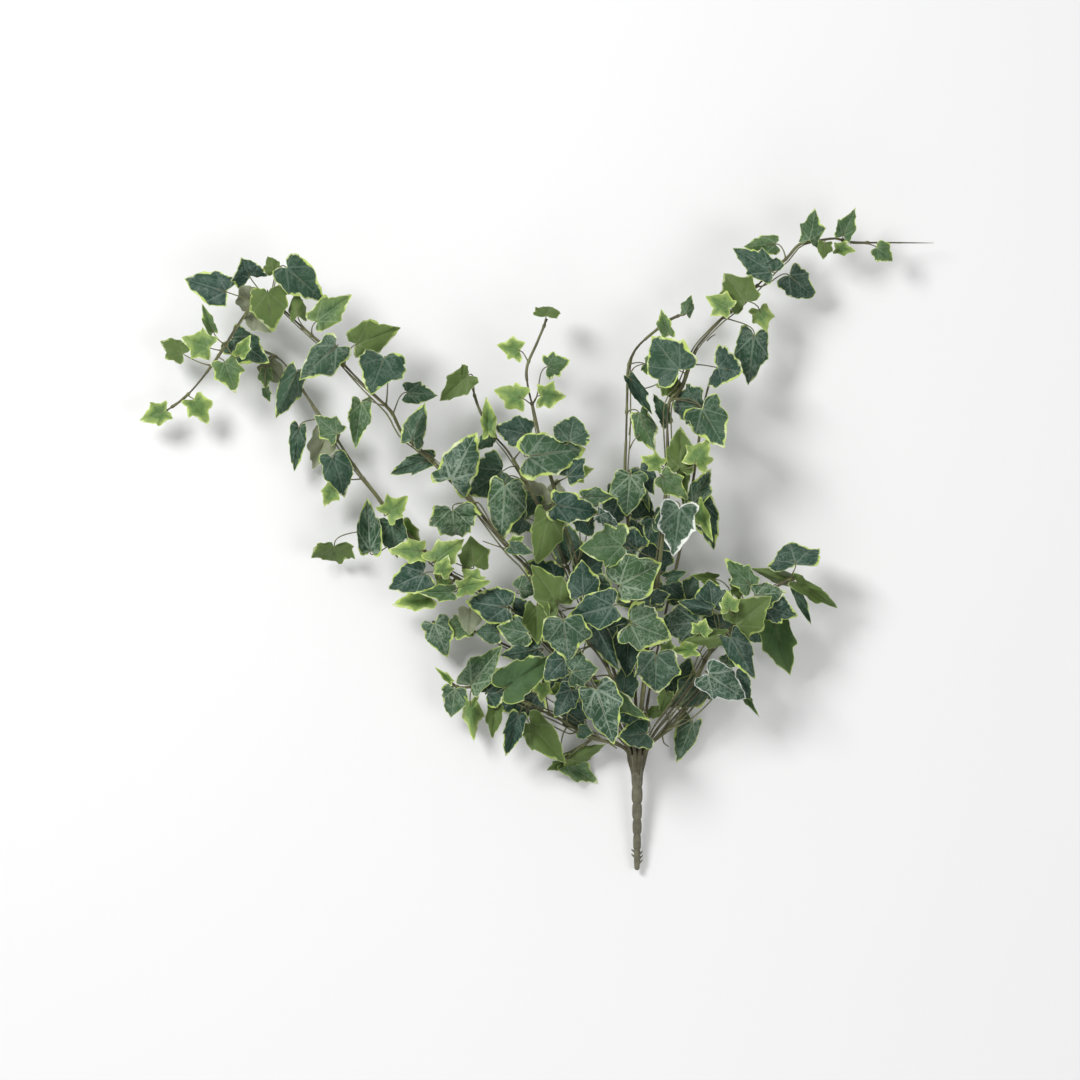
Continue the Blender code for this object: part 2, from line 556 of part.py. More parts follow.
def petiole(points, extra=0.0):
    """Petiole alone as a rod, for finding what it would touch."""
    return tube(points, [PETIOLE_RADIUS + extra] * len(points), 4)


def box_of(verts):
    lo = [min(v[i] for v in verts) for i in range(3)]
    hi = [max(v[i] for v in verts) for i in range(3)]
    return lo, hi


def apart(a, b):
    return any(a[0][i] > b[1][i] or b[0][i] > a[1][i] for i in range(3))


class Obstacles:
    """Everything already placed, for keeping new pieces clear of it."""

    def __init__(self):
        self.items = []

    def add(self, owner, verts, faces):
        self.items.append((owner, box_of(verts), BVHTree.FromPolygons(verts, faces)))

    def hit(self, verts, faces, skip=()):
        box = box_of(verts)
        tree = None
        for owner, other_box, other in self.items:
            if owner in skip or apart(box, other_box):
                continue
            if tree is None:
                tree = BVHTree.FromPolygons(verts, faces)
            if tree.overlap(other):
                return True
        return False


# Ways of leading a petiole: how far back along the jacket it starts, how straight it comes
# up to its leaf, and where it meets the leaf.
ROUTES = [
    (0, 0.30, 0), (6, 0.30, 0), (-6, 0.30, 0), (0, 0.45, 0), (0, 0.35, -1), (6, 0.35, -1),
    (-6, 0.35, -1), (0, 0.35, 1), (8, 0.45, 0), (-8, 0.45, 0), (8, 0.35, 1), (-8, 0.35, 1)]


def sharpest(points):
    """Largest turn of a path at a corner, in degrees."""
    turns = [0.0]
    for a, b, c in zip(points, points[1:], points[2:]):
        turns.append(math.degrees((b - a).angle(c - b)))
    return max(turns)


def tweaks():
    """Changes tried in turn on a leaf that would touch something."""
    for shrink in (1.0, 0.88, 0.76, 0.62, 0.5, 0.4):
        for dz in (0, 3, -3, 6, -6, 9, -9, 12, -12, 16, -16, 20, -20, 25, -25, 30, -30):
            for dpitch in (0, 14, -14):
                for dheading in (0, 9, -9):
                    yield dz, dpitch, dheading, shrink
    for shrink in (0.7, 0.45, 0.3):
        for dz in (0, 8, -8, 16, -16, 24, -24, 32, -32, 40, -40):
            for dheading in (25, -25, 50, -50):
                yield dz, 0, dheading, shrink


def layout():
    """Places everything: returns the paths of the stems and the parts of every spray."""
    paths = {name: Path(stem_path(name)) for name in STEMS}
    obstacles = Obstacles()
    for name, path in paths.items():
        radii = [core_radius(path, s) + NODE_GAP for s in path.lengths]
        obstacles.add("core " + name, *tube(path.points, radii, SIDES))
    obstacles.add("stake", *stake_solid(NODE_GAP))
    spans = {}
    for name, stem, start, end, _ in SPRAYS:
        path = paths[stem]
        spans[name] = [path.nearest(*start), path.nearest(*end)]
    for stem in STEMS:
        row = sorted((spans[s[0]], s[0]) for s in SPRAYS if s[1] == stem)
        for (_, first), (_, second) in zip(row, row[1:]):
            middle = (spans[first][1] + spans[second][0]) / 2
            if spans[second][0] - spans[first][1] < JACKET_GAP:
                spans[first][1] = middle - JACKET_GAP / 2
                spans[second][0] = middle + JACKET_GAP / 2
    jackets = {}
    for name, stem, _, _, _ in SPRAYS:
        path = paths[stem]
        s0 = path.clear_of_corner(spans[name][0], 1)
        s1 = path.clear_of_corner(min(spans[name][1], path.total - 1.5), -1)
        spans[name] = [s0, s1]
        points = path.part(s0, s1)
        radius = [core_radius(path, s0)] * len(points)
        inner = [r + CORE_CLEARANCE for r in radius]
        outer = [r + JACKET_WALL for r in inner]
        jackets[name] = (points, inner, outer)
        wide = [r + NODE_GAP for r in outer]
        obstacles.add("jacket " + name, *tube(points, wide, SIDES))
    sprays = {}
    made = Obstacles()
    key = 0
    for name, stem, _, _, leaves in SPRAYS:
        path = paths[stem]
        s0, s1 = spans[name]
        jacket = raw_object("jacket_" + name, *sleeve(*jackets[name], SIDES))
        volume = outward(jacket)
        placed = []
        for x, y, z, heading, length, width, kind in leaves:
            key += 1
            done = None
            near = path.nearest(x, y)
            root = path.at(near)[0]
            for tweak in tweaks():
                leaf = Leaf(key, x, y, z, heading, length, width, tweak)
                gap = math.hypot(*(leaf.base - root)[:2])
                s = min(max(near - 0.35 * gap, s0 + 2.5), s1 - 2.5)
                if obstacles.hit(*leaf.blade(NODE_GAP)):
                    continue
                for route in ROUTES:
                    s_try = min(max(s - route[0], s0 + 2.5), s1 - 2.5)
                    spot, axis = path.at(s_try)
                    stalk = petiole_path(leaf, spot, axis, core_radius(path, s0), route)
                    own = ("jacket " + name, "stalk %s" % name)
                    target, behind = leaf.seat(route[2])
                    if sharpest(stalk + [target - behind * 3]) > 78:
                        continue
                    if obstacles.hit(*petiole(stalk, 0.25), skip=own):
                        continue
                    solid = leaf.blade(0.0, stalk, route[2])
                    if crosses_itself(*solid) or made.hit(*solid, skip=(name,)):
                        continue
                    if join(jacket, volume, solid) is None:
                        continue
                    done = (leaf, stalk, solid)
                    break
                if done:
                    break
            if done is None:
                raise RuntimeError("no room for the leaf of spray %s at %g, %g" % (name, x, y))
            leaf, stalk, solid = done
            obstacles.add("leaf %d" % key, *leaf.blade(0.0))
            obstacles.add("stalk %s" % name, *petiole(stalk, 0.0))
            made.add(name, *solid)
            placed.append((kind, solid))
        bpy.data.objects.remove(jacket)
        sprays[name] = placed
    return paths, jackets, sprays


def stake_profile(extra=0.0):
    """Half outline of the stake from its tip to its mouth: distance below the mouth, radius."""
    unit = STAKE_LENGTH / 118.0
    wide = STAKE_RADIUS / 5.3
    rows = [
        (118.0, 0.0), (117.6, 1.5), (115.5, 2.6), (111.0, 3.1), (99.0, 3.3),
        (97.2, 2.9), (95.5, 3.7), (84.0, 3.9), (82.2, 3.3), (79.5, 4.1), (74.0, 4.6),
        (68.0, 4.1), (66.4, 3.5), (63.5, 4.6), (58.0, 4.9), (52.0, 4.6), (50.0, 3.9),
        (47.5, 5.1), (42.0, 5.3), (35.5, 5.1), (33.3, 4.7), (30.0, 5.4), (18.0, 6.4),
        (8.0, 8.3)]
    out = [(d * unit + (extra if r == 0 else 0), r * wide + (extra if r else 0)) for d, r in rows]
    out.append((0.0, NECK_RADIUS + extra))
    return out


def stake_solid(extra=0.0, sides=12):
    """Turned body of the stake, without its sockets and barbs."""
    verts, faces = [], []
    profile = stake_profile(extra)
    tip_depth = profile[0][0]
    verts.append(CROWN - STAKE_UP * tip_depth)
    right = Vector((1, 0, 0))
    for depth, radius in profile[1:]:
        for k in range(sides):
            a = 2 * math.pi * (k + 0.5) / sides
            spot = CROWN - STAKE_UP * depth
            verts.append(spot + (right * math.cos(a) + STAKE_OUT * math.sin(a)) * radius)
    for k in range(sides):
        k2 = (k + 1) % sides
        faces.append((0, 1 + k2, 1 + k))
    for i in range(len(profile) - 2):
        for k in range(sides):
            k2 = (k + 1) % sides
            a, b = 1 + i * sides + k, 1 + i * sides + k2
            faces.append((a, b, b + sides, a + sides))
    last = 1 + (len(profile) - 2) * sides
    faces.append(tuple(range(last, last + sides)))
    return verts, faces


def material(name, colour, roughness=0.6):
    mat = bpy.data.materials.new(name)
    mat.use_nodes = True
    shader = mat.node_tree.nodes["Principled BSDF"]
    shader.inputs["Base Color"].default_value = colour
    shader.inputs["Roughness"].default_value = roughness
    return mat


def raw_object(name, verts, faces):
    mesh = bpy.data.meshes.new(name)
    mesh.from_pydata([tuple(v) for v in verts], [], faces)
    mesh.validate()
    obj = bpy.data.objects.new(name, mesh)
    bpy.context.scene.collection.objects.link(obj)
    return obj


def outward(obj):
    """Turns the faces of a closed body so that they face out, and returns its volume."""
    bm = bmesh.new()
    bm.from_mesh(obj.data)
    bmesh.ops.triangulate(bm, faces=[f for f in bm.faces if len(f.verts) > 3])
    bmesh.ops.recalc_face_normals(bm, faces=bm.faces)
    if bm.calc_volume(signed=True) < 0:
        bmesh.ops.reverse_faces(bm, faces=bm.faces)
    volume = bm.calc_volume(signed=True)
    bm.to_mesh(obj.data)
    bm.free()
    return volume


def join(first, volume, solid, operation="UNION"):
    """Mesh and volume of a body joined with one more solid, or None if they don't join."""
    other = raw_object(first.name + "_tool", *solid)
    added = outward(other)
    low = max(volume, added) if operation == "UNION" else volume - added
    found = None
    # The usual solver first, moved by a hair where that fails, then the other one.
    for solver, hair in (("EXACT", 0), ("EXACT", 0.012), ("EXACT", 0.03), ("MANIFOLD", 0)):
        other.location = (hair, -hair * 0.7, hair * 0.4)
        step = first.modifiers.new("step", "BOOLEAN")
        step.operation = operation
        step.solver = solver
        step.object = other
        bpy.context.view_layer.update()
        graph = bpy.context.evaluated_depsgraph_get()
        mesh = bpy.data.meshes.new_from_object(first.evaluated_get(graph))
        first.modifiers.clear()
        new_volume = volume_of(mesh)
        if bodies(mesh) == 1 and closed(mesh) and low - 0.5 < new_volume < volume + added:
            found = (mesh, new_volume)
            break
    bpy.data.objects.remove(other)
    return found


def combine(name, solids, operation="UNION"):
    """One body from the first solid and the others."""
    first = raw_object(name, *solids[0])
    volume = outward(first)
    for k, solid in enumerate(solids[1:]):
        found = join(first, volume, solid, operation)
        if found is None:
            raise RuntimeError("solid %d of %s does not join the ones before it" % (k + 1, name))
        first.data, volume = found
    simplify(first)
    return first


def simplify(obj):
    """Removes corners that lie inside flat faces or straight edges."""
    volume = volume_of(obj.data)
    bm = bmesh.new()
    bm.from_mesh(obj.data)
    bmesh.ops.dissolve_limit(
        bm, angle_limit=rad(0.5), use_dissolve_boundaries=False, verts=bm.verts[:], edges=bm.edges[:])
    bmesh.ops.triangulate(bm, faces=bm.faces[:])
    mesh = bpy.data.meshes.new(obj.name)
    bm.to_mesh(mesh)
    bm.free()
    same = abs(volume_of(mesh) - volume) < 0.5
    if same and closed(mesh) and bodies(mesh) == 1 and not crosses_itself(*data_of(mesh)):
        obj.data = mesh


def volume_of(mesh):
    bm = bmesh.new()
    bm.from_mesh(mesh)
    volume = bm.calc_volume(signed=True)
    bm.free()
    return volume


def bodies(mesh):
    """Number of separate pieces of a mesh."""
    parent = list(range(len(mesh.vertices)))

    def root(i):
        while parent[i] != i:
            parent[i] = parent[parent[i]]
            i = parent[i]
        return i

    for edge in mesh.edges:
        a, b = root(edge.vertices[0]), root(edge.vertices[1])
        parent[a] = b
    return len({root(i) for i in range(len(parent))})


def closed(mesh):
    """Whether every edge of a mesh lies between exactly two faces."""
    uses = {}
    for polygon in mesh.polygons:
        for key in polygon.edge_keys:
            uses[key] = uses.get(key, 0) + 1
    return len(uses) > 0 and all(count == 2 for count in uses.values())


def make_stake():
    solids = [stake_solid()]
    for name, ((column, row), _) in STEMS.items():
        mouth = socket_point(column, row)
        ends = [mouth - STAKE_UP * SOCKET_DEPTH, mouth + STAKE_UP * 3.0]
        # The socket has the same six sides as the core in it.
        solids.append(tube(ends, [CORE_RADIUS + CORE_CLEARANCE] * 2, SIDES))
    body = combine("stake", solids, "DIFFERENCE")
    barbs = [data_of(body.data)]
    for depth, side in ((100.5, 1), (105.0, 1), (109.5, 1), (98.5, -1), (103.5, -1)):
        root = CROWN - STAKE_UP * depth * STAKE_LENGTH / 118.0
        out = Vector((side, 0, 0))
        barbs.append(tube([root + out * 2.0 - STAKE_UP * 0.8, root + out * 5.6 + STAKE_UP * 1.4],
                          [1.1, 0.45], 4))
    bpy.data.objects.remove(body)
    return combine("stake", barbs)


def data_of(mesh):
    return [v.co.copy() for v in mesh.vertices], [tuple(p.vertices) for p in mesh.polygons]


def main():
    for obj in list(bpy.data.objects):
        bpy.data.objects.remove(obj)
    paths, jackets, sprays = layout()
    stake_mat = material("stake_plastic", (0.16, 0.155, 0.11, 1), 0.55)
    stem_mat = material("stem_plastic", (0.10, 0.095, 0.06, 1), 0.6)
    leaf_mats = {
        "dark": material("leaf_dark", (0.035, 0.085, 0.05, 1), 0.6),
        "grey": material("leaf_grey", (0.09, 0.14, 0.10, 1), 0.6),
        "light": material("leaf_light", (0.20, 0.33, 0.09, 1), 0.6),
    }
    parts = []
    stake = make_stake()
    stake.data.materials.clear()
    stake.data.materials.append(stake_mat)
    parts.append(stake)
    for name, path in paths.items():
        radii = [core_radius(path, s) for s in path.lengths]
        core = raw_object("stem_" + name, *tube(path.points, radii, SIDES))
        outward(core)
        core.data.materials.append(stem_mat)
        parts.append(core)
    for name, (points, inner, outer) in jackets.items():
        solids = [sleeve(points, inner, outer, SIDES)]
        solids += [solid for _, solid in sprays[name]]
        spray = combine("spray_" + name, solids)
        kinds = [kind for kind, _ in sprays[name]]
        tone = "dark" if kinds.count("D") * 2 >= len(kinds) else "grey"
        if sum(kinds.count(k) for k in "LYM") * 2 > len(kinds):
            tone = "light"
        spray.data.materials.clear()
        spray.data.materials.append(leaf_mats[tone])
        parts.append(spray)
    # The bush stands over the middle of its own outline, on the surface it lies on.
    points = [v.co for part in parts for v in part.data.vertices]
    lo = Vector([min(p[i] for p in points) for i in range(3)])
    hi = Vector([max(p[i] for p in points) for i in range(3)])
    shift = Vector((-(lo.x + hi.x) / 2, -(lo.y + hi.y) / 2, -lo.z))
    for part in parts:
        for v in part.data.vertices:
            v.co = (v.co + shift) * 0.001
        part.data.update()


main()
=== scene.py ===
import json
import math

import bmesh
import bpy
from bpy.props import FloatProperty, FloatVectorProperty, IntProperty, PointerProperty
from mathutils import Matrix, Vector, noise
from mathutils.kdtree import KDTree


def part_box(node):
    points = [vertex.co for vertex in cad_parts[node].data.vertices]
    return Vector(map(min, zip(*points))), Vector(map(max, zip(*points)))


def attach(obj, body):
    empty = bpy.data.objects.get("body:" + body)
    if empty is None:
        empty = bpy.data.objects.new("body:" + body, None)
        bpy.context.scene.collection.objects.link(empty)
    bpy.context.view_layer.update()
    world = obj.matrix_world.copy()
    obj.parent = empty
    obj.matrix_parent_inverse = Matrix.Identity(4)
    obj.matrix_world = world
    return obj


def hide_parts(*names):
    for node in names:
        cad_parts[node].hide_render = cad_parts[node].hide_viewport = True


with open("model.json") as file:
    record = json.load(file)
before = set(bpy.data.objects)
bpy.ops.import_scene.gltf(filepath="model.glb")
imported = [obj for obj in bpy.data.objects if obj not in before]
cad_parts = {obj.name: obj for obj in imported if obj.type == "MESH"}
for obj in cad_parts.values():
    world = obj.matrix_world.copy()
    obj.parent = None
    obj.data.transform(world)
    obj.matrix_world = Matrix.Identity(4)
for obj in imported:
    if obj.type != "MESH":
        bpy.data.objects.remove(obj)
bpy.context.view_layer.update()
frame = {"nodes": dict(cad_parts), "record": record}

bl_info = {
    "name": "Ivy Bush",
    "version": (1, 0, 0),
    "blender": (4, 5, 0),
    "location": "View3D > Sidebar > Ivy",
    "description": "Builds a bush of artificial variegated ivy round its fixed frame",
    "category": "Object",
}

# Positions in the tables are millimetres from the crown, where the stems leave the stake.
CROWN_HEIGHT = 24.0
STAKE_TIP_HEIGHT = 6.6
STAKE_LENGTH = 118.0
SOCKET_PITCH = 4.6
SOCKET_DEPTH = 7.0
LEAF_THICKNESS = 1.0
CORE_RADIUS = 1.3
CORE_TIP_RADIUS = 0.95
FLOOR_GAP = 0.25  # least height of a corner of any piece
LEAF_FLOOR_GAP = 0.6  # least height of the middle of a leaf's cloth

# Stems: socket column and row in the neck, then points away from the crown.
STEMS = {
    "A": ((-1.5, 1), [
        (-22, 40, 38), (-60, 105, 60), (-107, 183, 78), (-127, 205, 81), (-158, 243, 84),
        (-172, 262, 84), (-212, 302, 84), (-233, 320, 84), (-246, 344, 84), (-272, 369, 83),
        (-302, 399, 81), (-335, 428, 78), (-362, 452, 74), (-375, 455, 71), (-384, 450, 68),
        (-402, 425, 60), (-420, 397, 51), (-440, 371, 42), (-455, 356, 36), (-471, 345, 30)]),
    "B": ((-1, 0), [
        (-25, 40, 30), (-75, 95, 40), (-130, 145, 47), (-167, 170, 49), (-185, 180, 49),
        (-207, 198, 48), (-230, 222, 46), (-250, 246, 44), (-262, 262, 43), (-277, 281, 42),
        (-290, 300, 40), (-303, 320, 38), (-326, 352, 34), (-350, 388, 29), (-364, 400, 26),
        (-385, 408, 22)]),
    "C": ((-0.5, -1), [
        (-14, 45, 22), (-35, 105, 28), (-62, 170, 34), (-88, 230, 39), (-104, 260, 41),
        (-117, 284, 42), (-130, 305, 42), (-143, 320, 41), (-157, 344, 38), (-166, 371, 34)]),
    "D": ((-0.5, 1), [
        (-10, 45, 40), (-28, 100, 56), (-48, 160, 70), (-62, 200, 75), (-73, 232, 75),
        (-82, 265, 73), (-91, 295, 71), (-98, 320, 69), (-103, 343, 67), (-109, 368, 63),
        (-110, 388, 60), (-100, 412, 55), (-90, 436, 50)]),
    "E": ((0, 0), [
        (-2, 60, 32), (-6, 140, 45), (-9, 220, 52), (-12, 280, 55), (-11, 315, 55),
        (-10, 355, 54), (-9, 385, 52), (-5, 400, 50), (4, 412, 48), (28, 432, 43),
        (38, 438, 41), (48, 442, 39)]),
    "F": ((0.5, 1), [
        (5, 50, 42), (14, 130, 60), (24, 210, 70), (30, 280, 74), (30, 334, 75),
        (33, 355, 75), (44, 368, 74), (57, 403, 72), (70, 420, 70), (85, 436, 67),
        (94, 443, 65), (114, 463, 61), (136, 485, 56), (150, 497, 53), (163, 511, 50),
        (183, 515, 46), (199, 517, 43), (215, 513, 40), (250, 513, 33), (298, 513, 24)]),
    "G": ((1.5, 1), [
        (18, 22, 34), (40, 52, 47), (60, 80, 58), (72, 103, 65), (95, 127, 69),
        (113, 148, 69), (135, 166, 67), (157, 178, 62)]),
    "H": ((-2, 0), [
        (-22, 11, 25), (-50, 20, 28), (-80, 37, 31), (-105, 48, 33), (-130, 60, 33),
        (-157, 68, 31), (-181, 68, 28), (-200, 85, 24)]),
    "I": ((-1.5, -1), [
        (-25, 25, 17), (-60, 60, 17), (-105, 95, 19), (-150, 118, 21), (-185, 130, 21),
        (-205, 133, 20)]),
    "J": ((1, 0), [
        (12, 60, 31), (26, 130, 41), (42, 200, 47), (52, 250, 49), (60, 300, 48),
        (66, 345, 45), (74, 378, 41)]),
    "K": ((2, 0), [
        (22, 20, 27), (48, 48, 35), (72, 74, 41), (92, 92, 44), (110, 100, 44)]),
    "M": ((-0.5, 2), [
        (-10, 40, 50), (-26, 80, 76), (-50, 115, 92), (-74, 141, 97)]),
    "N": ((0.5, 2), [
        (5, 45, 54), (9, 95, 80), (5, 145, 97), (-9, 178, 104)]),
    "P": ((1.5, -1), [
        (24, 20, 18), (42, 36, 18), (66, 66, 19), (96, 100, 22), (125, 124, 25),
        (141, 130, 26)]),
}

